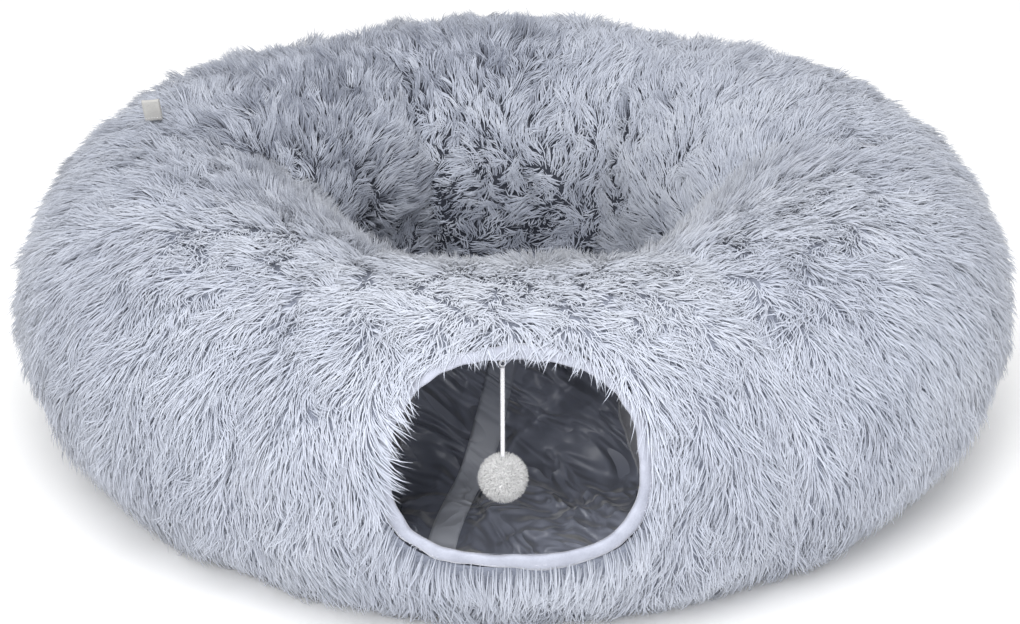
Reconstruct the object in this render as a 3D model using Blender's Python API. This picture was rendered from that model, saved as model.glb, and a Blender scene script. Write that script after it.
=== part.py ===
"""Ring-shaped plush cat tunnel: two zipped half rings of soft tube round a centre mat.

The front entrance looks along -Y, the ring stands on Z = 0, and the ring's axis is the Z axis.
Each half is an exact half ring that stops short of the Y = 0 plane by half the zip's groove.
"""
import math

import bmesh
import bpy
from mathutils import Vector

# Ring and tube, measured to the tips of the pile
RING_RADIUS = 0.295
TUBE_HALF_WIDTH = 0.155
TUBE_HEIGHT = 0.272
TUBE_CENTRE_HEIGHT = 0.132
WELL_CORNER_RADIUS = 0.030
SEAM_CORNER_RADIUS = 0.140
SEAM_DRAW_IN = 0.011
END_DRAW_IN = 0.005
WELL_DRAW_IN = 0.026
ROUND_EXPONENT = 2.1
PUFF_EXPONENT = 0.6
FOOT_REACH_SHARE = 1.15
PANELS_PER_HALF = 3
STATIONS_PER_PANEL = 5
CREST_STEPS = 10
CORNER_STEPS = 3
FOOT_STEPS = 3

# Layers of the tube's wall
COVER_THICKNESS = 0.022
LINING_THICKNESS = 0.001
GAP = 0.0003
PANEL_GAP = 0.0003

# Hoops and the channels stitched over them
HOOP_WIRE_RADIUS = 0.0015
WIRE_SIDES = 6
CHANNEL_HALF_WIDTH = 0.012
CHANNEL_CREST_HALF_WIDTH = 0.0025
CHANNEL_THICKNESS = 0.0008
CHANNEL_EDGE_LIFT = 0.0004
END_HOOP_INSET = 0.0013

# Entrance: clear opening, its binding and its ring wire
ENTRANCE_WIDTH_SHARE = 0.3237
ENTRANCE_HEIGHT_SHARE = 0.2886
ENTRANCE_HALF_WIDTH = RING_RADIUS * ENTRANCE_WIDTH_SHARE
ENTRANCE_HALF_HEIGHT = TUBE_HEIGHT * ENTRANCE_HEIGHT_SHARE
ENTRANCE_TILT = math.radians(20.7)
ENTRANCE_TOP_EXPONENT = 2.3
ENTRANCE_FOOT_EXPONENT = 3.0
ENTRANCE_SIDES = 32
BINDING_WIDTH = 0.0105
BINDING_RECESS = 0.005
BINDING_DEPTH = 0.0195
BINDING_THICKNESS = 0.0015
ENTRANCE_WIRE_RADIUS = 0.002
CUT_OVERRUN = 0.015

# Toy hanging in the front entrance, a little to the left of the opening's top
TOY_SIDEWAYS_SHARE = 0.455
TACK_SIZE = Vector((0.007, 0.004, 0.0015))
EYE_RADIUS = 0.0022
EYE_WIRE_RADIUS = 0.0007
EYE_SIDES = 16
CORD_RADIUS = 0.00175
CORD_LENGTH = 0.076
CORD_POINT_SPACING = 0.009
POM_POM_RADIUS = 0.0185

# Zips joining the two halves
ZIP_GROOVE = 0.012
ZIP_RADIUS = 0.1245
ZIP_CENTRE_OUT = 0.0105
ZIP_TEETH_HALF_GAP = 0.0005
ZIP_TEETH_WIDTH = 0.0022
ZIP_TEETH_HALF_THICKNESS = 0.0012
ZIP_TAPE_HALF_THICKNESS = 0.0004
ZIP_FIRST_ANGLE = math.radians(155)
ZIP_STEPS = 32
SLIDER_REST_ANGLE = math.radians(150)
SLIDER_LENGTH = 0.014
SLIDER_HALF_WIDTH = 0.0042
SLIDER_CLEARANCE = 0.0010
SLIDER_PLATE = 0.0011
LUG_RADIUS = 0.0012
LUG_HALF_WIDTH = 0.0015
LUG_STAND = 0.0020
LUG_ROOT = 0.0004
LUG_TOP_STEPS = 6
PULL_LENGTH = 0.018
PULL_EAR_OVERHANG = 0.0015
PULL_ROOT_HALF_WIDTH = 0.0035
PULL_TIP_HALF_WIDTH = 0.0025
PULL_THICKNESS = 0.0012
PULL_SLOT_LENGTH = 0.0032

# Centre mat lying in the well
MAT_HEIGHT = 0.058
MAT_COVER_THICKNESS = 0.005
MAT_BASE_THICKNESS = 0.0015
MAT_PIPING_RADIUS = 0.0025
MAT_PIPING_LIFT = 0.0002
MAT_SIDES = 32
MAT_BASE_SHARE = 0.965
MAT_PIPING_SHARE = 0.97
# Each row: share of the mat's half width, share of the height above the piping
MAT_PROFILE_SHARES = (
    (0.965, 0.0), (0.990, 0.20), (1.000, 0.48), (0.985, 0.70), (0.900, 0.86), (0.620, 0.96), (0.220, 1.0),
)

# Blank label sewn to the rear half
LABEL_AZIMUTH = math.radians(84)
LABEL_ANGLE = math.radians(77)
LABEL_WIDTH = 0.016
LABEL_HEIGHT = 0.020
LABEL_THICKNESS = 0.0012
LABEL_FOLD_GAP = 0.0016
LABEL_SINK = 0.0006

HALF_GROOVE = ZIP_GROOVE / 2
PANEL_ANGLE = math.pi / PANELS_PER_HALF
HALF_END = math.pi / 2
LINING_INSET = COVER_THICKNESS + GAP
CHANNEL_INSET = LINING_INSET + LINING_THICKNESS + GAP
UP = Vector((0, 0, 1))


def clear_scene():
    for old in list(bpy.data.objects):
        bpy.data.objects.remove(old, do_unlink=True)


def make_material(name, color, roughness, metallic=0.0):
    material = bpy.data.materials.new(name)
    material.use_nodes = True
    shader = material.node_tree.nodes["Principled BSDF"]
    shader.inputs["Base Color"].default_value = (*color, 1.0)
    shader.inputs["Roughness"].default_value = roughness
    shader.inputs["Metallic"].default_value = metallic
    material.diffuse_color = (*color, 1.0)
    return material


def add_object(name, bm, material, parent=None, smooth=True):
    """Turn a bmesh into a named object with outward faces."""
    bmesh.ops.recalc_face_normals(bm, faces=bm.faces)
    mesh = bpy.data.meshes.new(name)
    bm.to_mesh(mesh)
    bm.free()
    if smooth:
        mesh.shade_smooth()
    return place_mesh(name, mesh, material, parent)


def place_mesh(name, mesh, material, parent=None):
    """Place a mesh, perhaps one that another object has too, under its parent."""
    item = bpy.data.objects.new(name, mesh)
    bpy.context.collection.objects.link(item)
    item.parent = parent
    if not mesh.materials:
        mesh.materials.append(material)
    return item


def add_empty(name, location=(0, 0, 0), turn=(0, 0, 0), parent=None):
    empty = bpy.data.objects.new(name, None)
    bpy.context.collection.objects.link(empty)
    empty.location = location
    empty.rotation_euler = turn
    empty.parent = parent
    return empty


def skin_quad(bm, a, b, c, d):
    """Split a bent quad along its shorter diagonal, so that nested layers bend alike."""
    if (a.co - c.co).length <= (b.co - d.co).length:
        corners = ((a, b, c), (a, c, d))
    else:
        corners = ((a, b, d), (b, c, d))
    for triangle in corners:
        bm.faces.new(triangle)


def loft(loops, closed):
    """Skin a row of equal loops: closed back to the first one, or capped at both ends."""
    bm = bmesh.new()
    rings = [[bm.verts.new(point) for point in loop] for loop in loops]
    count = len(rings[0])
    pairs = list(zip(rings, rings[1:]))
    if closed:
        pairs.append((rings[-1], rings[0]))
    for near, far in pairs:
        for k in range(count):
            after = (k + 1) % count
            skin_quad(bm, near[k], near[after], far[after], far[k])
    if not closed:
        bm.faces.new(rings[0])
        bm.faces.new(reversed(rings[-1]))
    return bm


def turns(sides):
    """Angles of the corners of a regular loop."""
    return [math.tau * k / sides for k in range(sides)]


def signed_power(value, exponent):
    return math.copysign(abs(value) ** (2 / exponent), value)


def puff(azimuth):
    """0 at a seam between panels, 1 in the middle of a panel."""
    share = (azimuth + HALF_END) / PANEL_ANGLE % 1
    return max(math.sin(math.pi * share), 0.0) ** PUFF_EXPONENT


def section_sizes(azimuth, inset):
    """Reach outward, reach into the well, crest, foot and well corner of the tube's section.

    They are inset from the pile's tips. The tube is drawn in at each seam, most of all in the well.
    """
    at_end = abs(azimuth) > HALF_END - PANEL_ANGLE / 2
    seam = 1 - puff(azimuth)
    drawn = (END_DRAW_IN if at_end else SEAM_DRAW_IN) * seam
    outer = TUBE_HALF_WIDTH - drawn - inset
    well = TUBE_HALF_WIDTH - WELL_DRAW_IN * seam - inset
    crest = TUBE_HEIGHT - drawn - inset - TUBE_CENTRE_HEIGHT
    foot = (TUBE_CENTRE_HEIGHT - inset) * FOOT_REACH_SHARE
    corner = WELL_CORNER_RADIUS * (1 - seam) + SEAM_CORNER_RADIUS * seam
    return outer, well, crest, foot, corner * well / TUBE_HALF_WIDTH


def round_point(azimuth, angle, inset):
    """Outward and upward place on the round part of the section, at an angle above the outer side."""
    outer, well, crest, foot, _ = section_sizes(azimuth, inset)
    reach = outer if math.cos(angle) >= 0 else well
    rise = crest if math.sin(angle) >= 0 else foot
    outward = reach * signed_power(math.cos(angle), ROUND_EXPONENT)
    return outward, TUBE_CENTRE_HEIGHT + rise * signed_power(math.sin(angle), ROUND_EXPONENT)


def section(azimuth, inset):
    """Closed outline of the tube: over the crest, down the well's wall, along the base, up the foot."""
    _, well, _, _, corner = section_sizes(azimuth, inset)
    foot_angle = math.asin(FOOT_REACH_SHARE ** (-ROUND_EXPONENT / 2))
    points = [round_point(azimuth, math.pi * k / CREST_STEPS, inset) for k in range(CREST_STEPS + 1)]
    for k in range(CORNER_STEPS + 1):
        turn = HALF_END * k / CORNER_STEPS
        points.append((corner * (1 - math.cos(turn)) - well, inset + corner * (1 - math.sin(turn))))
    for k in range(FOOT_STEPS, 0, -1):
        points.append(round_point(azimuth, -foot_angle * k / FOOT_STEPS, inset))
    return points


def ring_point(azimuth, outward, height):
    """Place on the front half: azimuth 0 is the front entrance, positive towards +X."""
    radius = RING_RADIUS + outward
    return Vector((radius * math.sin(azimuth), -HALF_GROOVE - radius * math.cos(azimuth), height))


def section_loop(azimuth, inset, along=0.0):
    """The section as points in space, moved along the ring by a distance."""
    tangent = Vector((math.cos(azimuth), math.sin(azimuth), 0))
    return [ring_point(azimuth, u, w) + tangent * along for u, w in section(azimuth, inset)]


def well_radius():
    """Clear radius of the well between the fullest parts of the panels."""
    return RING_RADIUS - TUBE_HALF_WIDTH


def panel_stations(panel):
    """Azimuths across a panel, its two ends held off the neighbours by half a gap."""
    trim = PANEL_GAP / (2 * well_radius())
    first = -HALF_END + PANEL_ANGLE * panel
    azimuths = [first + PANEL_ANGLE * k / STATIONS_PER_PANEL for k in range(STATIONS_PER_PANEL + 1)]
    if panel > 0:
        azimuths[0] += trim
    if panel < PANELS_PER_HALF - 1:
        azimuths[-1] -= trim
    return azimuths


def panel_shell(panel, inset, thickness):
    """One panel of a layer of the tube's wall, open at both ends."""
    azimuths = panel_stations(panel)
    outer = [section_loop(azimuth, inset) for azimuth in azimuths]
    inner = [section_loop(azimuth, inset + thickness) for azimuth in reversed(azimuths)]
    return loft(outer + inner, closed=True)


def entrance_axis():
    return Vector((0, -math.cos(ENTRANCE_TILT), math.sin(ENTRANCE_TILT)))


def entrance_point(turn, across, depth):
    """Point on the entrance's wall: across from the clear opening, depth below the pile's tips.

    The opening is rounder at its top than at its foot.
    """
    exponent = ENTRANCE_TOP_EXPONENT if math.sin(turn) > 0 else ENTRANCE_FOOT_EXPONENT
    azimuth = (ENTRANCE_HALF_WIDTH + across) / (RING_RADIUS + TUBE_HALF_WIDTH)
    azimuth *= signed_power(math.cos(turn), exponent)
    wall_radius = (TUBE_HALF_WIDTH + TUBE_HEIGHT - TUBE_CENTRE_HEIGHT) / 2
    rise = (ENTRANCE_HALF_HEIGHT + across) / wall_radius
    angle = ENTRANCE_TILT + rise * signed_power(math.sin(turn), exponent)
    return ring_point(azimuth, *round_point(azimuth, angle, 0.0)) - entrance_axis() * depth


def entrance_loop(across, depth):
    return [entrance_point(turn, across, depth) for turn in turns(ENTRANCE_SIDES)]


def entrance_cutter():
    """Plug that opens the cover and the lining just outside the binding."""
    across = BINDING_WIDTH + GAP
    deepest = CHANNEL_INSET + CUT_OVERRUN
    bm = loft([entrance_loop(across, -CUT_OVERRUN), entrance_loop(across, deepest)], closed=False)
    cutter = add_object("entrance_cutter", bm, None)
    cutter.hide_render = True
    cutter.display_type = "WIRE"
    return cutter


def cut_with(item, cutter):
    cut = item.modifiers.new("entrance", "BOOLEAN")
    cut.operation = "DIFFERENCE"
    cut.object = cutter


def tube_layer(kind, inset, thickness, material, halves, cutters):
    """Three panels of one layer on each half; the middle one carries the entrance."""
    for panel in range(PANELS_PER_HALF):
        mesh = None
        for half, side_names in halves:
            name = f"{kind}_{side_names[panel]}"
            if mesh is None:
                item = add_object(name, panel_shell(panel, inset, thickness), material, half)
                mesh = item.data
            else:
                item = place_mesh(name, mesh, material, half)
            if panel == PANELS_PER_HALF // 2:
                cut_with(item, cutters[half.name])


def hoop_azimuths():
    """A hoop at every seam between panels, and one just inside each end."""
    end = HALF_END - (CHANNEL_HALF_WIDTH + GAP) / well_radius()
    seams = [-HALF_END + PANEL_ANGLE * k for k in range(1, PANELS_PER_HALF)]
    return [-end, *seams, end]


def hoop_section(azimuth, inset, along):
    """The section at the nearest seam, which is the tightest that the hoop passes."""
    seam = round((azimuth + HALF_END) / PANEL_ANGLE) * PANEL_ANGLE - HALF_END
    if abs(seam) > HALF_END - PANEL_ANGLE / 2:
        inset += END_HOOP_INSET
    tangent = Vector((math.cos(azimuth), math.sin(azimuth), 0))
    return [ring_point(azimuth, u, w) + tangent * along for u, w in section(seam, inset)]


def hoop(azimuth):
    """Round spring wire lying against the lining, under its channel."""
    loops = []
    for turn in turns(WIRE_SIDES):
        depth = CHANNEL_INSET + HOOP_WIRE_RADIUS * (1 - math.cos(turn))
        loops.append(hoop_section(azimuth, depth, HOOP_WIRE_RADIUS * math.sin(turn)))
    return loft(loops, closed=True)


def hoop_channel(azimuth):
    """Fabric strip over the wire: flat edges on the lining and a raised crest over the hoop."""
    crest = CHANNEL_INSET + 2 * HOOP_WIRE_RADIUS + GAP
    edge = CHANNEL_INSET + CHANNEL_EDGE_LIFT
    profile = [(-CHANNEL_HALF_WIDTH, edge), (-CHANNEL_CREST_HALF_WIDTH, crest)]
    profile += [(CHANNEL_CREST_HALF_WIDTH, crest), (CHANNEL_HALF_WIDTH, edge)]
    profile += [(along, depth + CHANNEL_THICKNESS) for along, depth in reversed(profile)]
    return loft([hoop_section(azimuth, depth, along) for along, depth in profile], closed=True)


def entrance_binding():
    """Folded tape round the opening: a channel, open towards the cut edge, that holds the ring wire."""
    wide = BINDING_WIDTH
    face = BINDING_RECESS
    back = BINDING_RECESS + BINDING_DEPTH
    tape = BINDING_THICKNESS
    profile = [(wide, face), (0.0, face), (0.0, back), (wide, back)]
    profile += [(wide, back - tape), (tape, back - tape), (tape, face + tape), (wide, face + tape)]
    return loft([entrance_loop(across, depth) for across, depth in profile], closed=True)


def entrance_ring():
    """Wire ring inside the binding."""
    middle_across = BINDING_THICKNESS + GAP + ENTRANCE_WIRE_RADIUS
    middle_depth = BINDING_RECESS + middle_across
    loops = []
    for turn in turns(WIRE_SIDES):
        across = middle_across + ENTRANCE_WIRE_RADIUS * math.cos(turn)
        loops.append(entrance_loop(across, middle_depth + ENTRANCE_WIRE_RADIUS * math.sin(turn)))
    return loft(loops, closed=True)


def toy_pivot():
    """Centre of the cord's eye, just under the inner edge of the binding, on the side left of its top."""
    top, beside = entrance_loop(0.0, BINDING_RECESS + BINDING_DEPTH)[ENTRANCE_SIDES // 4:][:2]
    edge = top.lerp(beside, TOY_SIDEWAYS_SHARE)
    below = GAP + TACK_SIZE.z + GAP + EYE_RADIUS + EYE_WIRE_RADIUS
    return edge + Vector((0, -TACK_SIZE.y / 2, -below))


def toy_tack():
    """Bar tack: a small block of stitches under the binding."""
    bm = bmesh.new()
    bmesh.ops.create_cube(bm, size=1)
    bmesh.ops.scale(bm, vec=TACK_SIZE, verts=bm.verts)
    lift = EYE_RADIUS + EYE_WIRE_RADIUS + GAP + TACK_SIZE.z / 2
    bmesh.ops.translate(bm, vec=toy_pivot() + UP * lift, verts=bm.verts)
    return bm


def toy_eye():
    """Loop at the cord's upper end, centred on the pivot."""
    rings = []
    for around in turns(EYE_SIDES):
        outward = Vector((math.cos(around), 0, math.sin(around)))
        ring = []
        for turn in turns(WIRE_SIDES):
            offset = outward * math.cos(turn) + Vector((0, math.sin(turn), 0))
            ring.append(outward * EYE_RADIUS + offset * EYE_WIRE_RADIUS)
        rings.append(ring)
    return loft(rings, closed=True)


def toy_cord(name, top, material, parent):
    """Straight hanging cord."""
    curve = bpy.data.curves.new(name, "CURVE")
    curve.dimensions = "3D"
    curve.bevel_depth = CORD_RADIUS
    curve.bevel_resolution = 2
    curve.use_fill_caps = True
    steps = round(CORD_LENGTH / CORD_POINT_SPACING)
    spline = curve.splines.new("POLY")
    spline.points.add(steps)
    for k, point in enumerate(spline.points):
        point.co = (0, 0, top - CORD_LENGTH * k / steps, 1)
    return place_mesh(name, curve, material, parent)


def toy_pom_pom(centre_height):
    bm = bmesh.new()
    bmesh.ops.create_icosphere(bm, subdivisions=3, radius=POM_POM_RADIUS)
    bmesh.ops.translate(bm, vec=UP * centre_height, verts=bm.verts)
    return bm


def add_toy(cord_white, plush_white):
    """Tack on the binding, an eye that swings fore and aft, and a cord that swings sideways on it."""
    add_object("toy_tack", toy_tack(), cord_white, smooth=False)
    swing = add_empty("toy_swing", toy_pivot())
    sway = add_empty("toy_sway", parent=swing)
    add_object("toy_eye", toy_eye(), cord_white, swing)
    cord_top = -(EYE_RADIUS + EYE_WIRE_RADIUS + GAP)
    toy_cord("toy_cord", cord_top, cord_white, sway)
    pom_pom_height = cord_top - CORD_LENGTH - GAP - POM_POM_RADIUS
    add_object("toy_pom_pom", toy_pom_pom(pom_pom_height), plush_white, sway)


def zip_tape(side):
    """One side's tape with its teeth, as an arc round the tube. Side -1 is the front, +1 the rear."""
    sewn = HALF_GROOVE - GAP
    teeth_inner = ZIP_TEETH_HALF_GAP
    teeth_outer = ZIP_TEETH_HALF_GAP + ZIP_TEETH_WIDTH
    teeth = ZIP_TEETH_HALF_THICKNESS
    tape = ZIP_TAPE_HALF_THICKNESS
    profile = [(sewn, -tape), (teeth_outer, -teeth), (teeth_inner, -teeth)]
    profile += [(teeth_inner, teeth), (teeth_outer, teeth), (sewn, tape)]
    loops = []
    for k in range(ZIP_STEPS + 1):
        angle = ZIP_FIRST_ANGLE * (1 - 2 * k / ZIP_STEPS)
        outward = Vector((math.cos(angle), 0, math.sin(angle)))
        loops.append([outward * (ZIP_RADIUS + lift) + Vector((0, side * y, 0)) for y, lift in profile])
    return loft(loops, closed=False)


def slider_body():
    """H-shaped slider: two plates joined by the web that runs between the teeth, X along its travel."""
    web = ZIP_TEETH_HALF_GAP - GAP
    near = ZIP_TEETH_HALF_THICKNESS + SLIDER_CLEARANCE
    far = near + SLIDER_PLATE
    wide = SLIDER_HALF_WIDTH
    quarter = [(web, near), (wide, near), (wide, far)]
    upper = quarter + [(-y, z) for y, z in reversed(quarter)]
    outline = upper + [(-y, -z) for y, z in upper]
    ends = (-SLIDER_LENGTH / 2, SLIDER_LENGTH / 2)
    return loft([[Vector((x, y, z)) for y, z in outline] for x in ends], closed=False)


def slider_lug():
    """Round-topped lug that carries the pull."""
    outline = [(LUG_RADIUS, -LUG_STAND - LUG_ROOT)]
    for k in range(LUG_TOP_STEPS + 1):
        turn = math.pi * k / LUG_TOP_STEPS
        outline.append((LUG_RADIUS * math.cos(turn), LUG_RADIUS * math.sin(turn)))
    outline.append((-LUG_RADIUS, -LUG_STAND - LUG_ROOT))
    sides = (-LUG_HALF_WIDTH, LUG_HALF_WIDTH)
    bm = loft([[Vector((x, y, z)) for x, z in outline] for y in sides], closed=False)
    bmesh.ops.translate(bm, vec=UP * pull_height(), verts=bm.verts)
    return bm


def pull_height():
    """Height of the pull's pin above the zip's centre line."""
    return ZIP_TEETH_HALF_THICKNESS + SLIDER_CLEARANCE + SLIDER_PLATE + LUG_STAND


def zip_pull():
    """Flat tab whose two ears straddle the lug; at rest it lies back along the tape, towards -X."""
    root = PULL_ROOT_HALF_WIDTH
    tip = PULL_TIP_HALF_WIDTH
    slot = LUG_HALF_WIDTH + GAP
    outline = [(PULL_EAR_OVERHANG, root), (PULL_EAR_OVERHANG, slot), (-PULL_SLOT_LENGTH, slot)]
    outline += [(-PULL_SLOT_LENGTH, -slot), (PULL_EAR_OVERHANG, -slot), (PULL_EAR_OVERHANG, -root)]
    outline += [(-PULL_LENGTH, -tip), (-PULL_LENGTH, tip)]
    faces = (-PULL_THICKNESS / 2, PULL_THICKNESS / 2)
    return loft([[Vector((x, y, z)) for x, y in outline] for z in faces], closed=False)


def add_zip(side_name, turn, near_name, far_name, tape_material, metal):
    """One zip with its slider and pull; turned half round the ring's axis for the left side."""
    frame = add_empty(f"zip_{side_name}_frame", turn=(0, 0, turn))
    middle = (RING_RADIUS + ZIP_CENTRE_OUT, 0, TUBE_CENTRE_HEIGHT)
    centre = add_empty(f"zip_{side_name}_centre", middle, parent=frame)
    add_object(f"zip_tape_{side_name}_{near_name}", zip_tape(-1), tape_material, centre)
    add_object(f"zip_tape_{side_name}_{far_name}", zip_tape(1), tape_material, centre)
    lean = HALF_END - SLIDER_REST_ANGLE
    travel = add_empty(f"zip_{side_name}_travel", turn=(0, lean, 0), parent=centre)
    slider = add_object(f"zip_slider_{side_name}", slider_body(), metal, travel, smooth=False)
    slider.location = UP * ZIP_RADIUS
    lug = add_object(f"zip_lug_{side_name}", slider_lug(), metal, travel, smooth=False)
    lug.location = slider.location
    lug.hide_render = True
    lug.display_type = "WIRE"
    join = slider.modifiers.new("lug", "BOOLEAN")
    join.operation = "UNION"
    join.object = lug
    pull = add_object(f"zip_pull_{side_name}", zip_pull(), metal, travel, smooth=False)
    pull.location = UP * (ZIP_RADIUS + pull_height())


def mat_loop(share, height, inset=0.0):
    """Oval round the well: the half rings stand apart by the zip's groove, so the well is longer along Y."""
    half = (well_radius() - GAP) * share - inset
    loop = []
    for turn in turns(MAT_SIDES):
        loop.append(Vector((half * math.cos(turn), (half + HALF_GROOVE) * math.sin(turn), height)))
    return loop


def mat_profile(inset):
    """Crowned profile with drawn-in sides, from just above the piping to the crown."""
    foot = MAT_PIPING_LIFT + 2 * MAT_PIPING_RADIUS + MAT_BASE_THICKNESS + 2 * GAP
    top = MAT_HEIGHT - inset
    return [(share, foot + (top - foot) * rise, inset) for share, rise in MAT_PROFILE_SHARES]


def mat_cover():
    outer = [mat_loop(*row) for row in mat_profile(0.0)]
    inner = [mat_loop(*row) for row in mat_profile(MAT_COVER_THICKNESS)]
    return loft(outer[::-1] + inner, closed=False)


def mat_filling():
    """Stuffing: fills the cover down to the base, inside the piping."""
    inset = MAT_COVER_THICKNESS + GAP
    rows = mat_profile(inset)
    lowest = (rows[0][0], MAT_BASE_THICKNESS + GAP, inset)
    return loft([mat_loop(*row) for row in [lowest, *rows]], closed=False)


def mat_base():
    return loft([mat_loop(MAT_BASE_SHARE, 0.0), mat_loop(MAT_BASE_SHARE, MAT_BASE_THICKNESS)], closed=False)


def mat_piping():
    """Piped cord between the base and the cover."""
    middle = MAT_BASE_THICKNESS + GAP + MAT_PIPING_LIFT / 2 + MAT_PIPING_RADIUS
    loops = []
    for turn in turns(WIRE_SIDES):
        inset = MAT_PIPING_RADIUS * (1 - math.cos(turn))
        loops.append(mat_loop(MAT_PIPING_SHARE, middle + MAT_PIPING_RADIUS * math.sin(turn), inset))
    return loft(loops, closed=True)


def add_mat(plush, base_fabric, filling):
    frame = add_empty("mat_frame")
    add_object("mat_cover", mat_cover(), plush, frame)
    add_object("mat_base", mat_base(), base_fabric, frame, smooth=False)
    add_object("mat_piping", mat_piping(), plush, frame)
    add_object("mat_filling", mat_filling(), filling, frame)


def label():
    """Blank ribbon folded double; it stands on one flat of the cover, its width up the slope of the seam."""
    step = math.pi / CREST_STEPS
    below = step * math.floor(LABEL_ANGLE / step)
    places = [round_point(LABEL_AZIMUTH, angle, 0.0) for angle in (below, below + step)]
    low, high = (ring_point(LABEL_AZIMUTH, *place) for place in places)
    side = (low - high).normalized()
    along = Vector((math.cos(LABEL_AZIMUTH), math.sin(LABEL_AZIMUTH), 0))
    rise = side.cross(along)
    across = rise.cross(side)
    half = LABEL_THICKNESS + LABEL_FOLD_GAP / 2
    slot = LABEL_FOLD_GAP / 2
    top = LABEL_HEIGHT
    outline = [(-half, 0.0), (-half, top), (half, top), (half, 0.0), (slot, 0.0)]
    outline += [(slot, top - LABEL_THICKNESS), (-slot, top - LABEL_THICKNESS), (-slot, 0.0)]
    foot = low.lerp(high, (LABEL_ANGLE - below) / step) - rise * LABEL_SINK
    loops = []
    for end in (-LABEL_WIDTH / 2, LABEL_WIDTH / 2):
        loops.append([foot + side * end + across * a + rise * r for a, r in outline])
    return loft(loops, closed=False)


def main():
    clear_scene()
    plush = make_material("plush", (0.60, 0.63, 0.70), 0.9)
    satin = make_material("satin_lining", (0.065, 0.068, 0.085), 0.45)
    channel = make_material("channel_fabric", (0.12, 0.125, 0.145), 0.5)
    tape = make_material("binding_tape", (0.46, 0.47, 0.56), 0.6)
    zip_cloth = make_material("zip_cloth", (0.42, 0.44, 0.50), 0.7)
    steel = make_material("spring_steel", (0.55, 0.56, 0.58), 0.35, 1.0)
    metal = make_material("zip_metal", (0.62, 0.62, 0.64), 0.3, 1.0)
    cord_white = make_material("cord_white", (0.80, 0.80, 0.82), 0.8)
    plush_white = make_material("plush_white", (0.85, 0.85, 0.83), 0.95)
    filling = make_material("mat_filling", (0.85, 0.85, 0.85), 0.95)
    ribbon = make_material("label_ribbon", (0.82, 0.82, 0.80), 0.7)

    front = add_empty("front_half")
    rear = add_empty("rear_half", turn=(0, 0, math.pi))
    halves = (
        (front, ("front_left", "front_entrance", "front_right")),
        (rear, ("rear_right", "rear_entrance", "rear_left")),
    )
    front_cutter = entrance_cutter()
    rear_cutter = place_mesh("entrance_cutter_rear", front_cutter.data, None, rear)
    rear_cutter.hide_render = True
    rear_cutter.display_type = "WIRE"
    cutters = {front.name: front_cutter, rear.name: rear_cutter}
    tube_layer("cover", 0.0, COVER_THICKNESS, plush, halves, cutters)
    tube_layer("lining", LINING_INSET, LINING_THICKNESS, satin, halves, cutters)

    hoop_names = ("left_end", "left", "right", "right_end")
    for half, prefix, names in ((front, "front", hoop_names), (rear, "rear", hoop_names[::-1])):
        for azimuth, name in zip(hoop_azimuths(), names):
            add_object(f"hoop_{prefix}_{name}", hoop(azimuth), steel, half)
            add_object(f"hoop_channel_{prefix}_{name}", hoop_channel(azimuth), channel, half)
        add_object(f"entrance_binding_{prefix}", entrance_binding(), tape, half)
        add_object(f"entrance_ring_{prefix}", entrance_ring(), steel, half)

    add_toy(cord_white, plush_white)
    add_zip("right", 0.0, "front", "rear", zip_cloth, metal)
    add_zip("left", math.pi, "rear", "front", zip_cloth, metal)
    add_mat(plush, satin, filling)
    add_object("label", label(), ribbon, rear, smooth=False)


main()
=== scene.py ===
"""Looks of the ring-shaped plush cat tunnel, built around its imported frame.

The pile is real geometry: tapered strands that flow from the well out over the crest and down to the
floor. Each piece keeps the place of the solid that it stands for. The rear half is the front half turned
half round the Z axis. Metres, +Z up, the front entrance looks along -Y.
"""
import math
from types import SimpleNamespace

import bmesh
import bpy
import numpy as np
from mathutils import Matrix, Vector


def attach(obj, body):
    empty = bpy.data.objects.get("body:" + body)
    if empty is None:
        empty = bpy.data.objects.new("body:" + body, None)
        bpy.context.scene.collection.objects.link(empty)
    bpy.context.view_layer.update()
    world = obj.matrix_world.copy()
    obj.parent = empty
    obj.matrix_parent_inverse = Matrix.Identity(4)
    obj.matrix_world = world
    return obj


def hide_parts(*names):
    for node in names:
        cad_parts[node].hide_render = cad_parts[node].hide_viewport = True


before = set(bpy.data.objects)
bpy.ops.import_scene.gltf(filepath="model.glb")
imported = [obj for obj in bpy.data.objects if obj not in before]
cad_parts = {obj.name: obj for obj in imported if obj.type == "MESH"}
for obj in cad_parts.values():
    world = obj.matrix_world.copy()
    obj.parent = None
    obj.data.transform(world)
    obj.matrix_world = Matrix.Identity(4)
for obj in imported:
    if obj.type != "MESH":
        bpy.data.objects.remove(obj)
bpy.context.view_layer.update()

# Camera, floor and lights: each light has its name, place, aim, size and power
CAMERA_LENS = 2250 / 1020 * 36
CAMERA_SHIFT = (-0.0047, -0.0446)
CAMERA_AIM = Vector((0, 0, 0.136))
CAMERA_DISTANCE = 2.07
CAMERA_ELEVATION = math.radians(24.4)
CAMERA_REACH = 60
FLOOR_HALF_SIZE = 15
FLOOR_DROP = 0.0004
SKY_STRENGTH = 0.84
LIGHTS = (
    ("key", (-0.8, -2.6, 1.9), (0, 0, 0.1), 1.8, 44),
    ("low_front", (0.9, -2.6, 0.50), (0, 0, 0.12), 1.2, 15),
    ("top", (0.0, -1.2, 2.4), (0, 0, 0.1), 1.8, 38),
)

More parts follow.
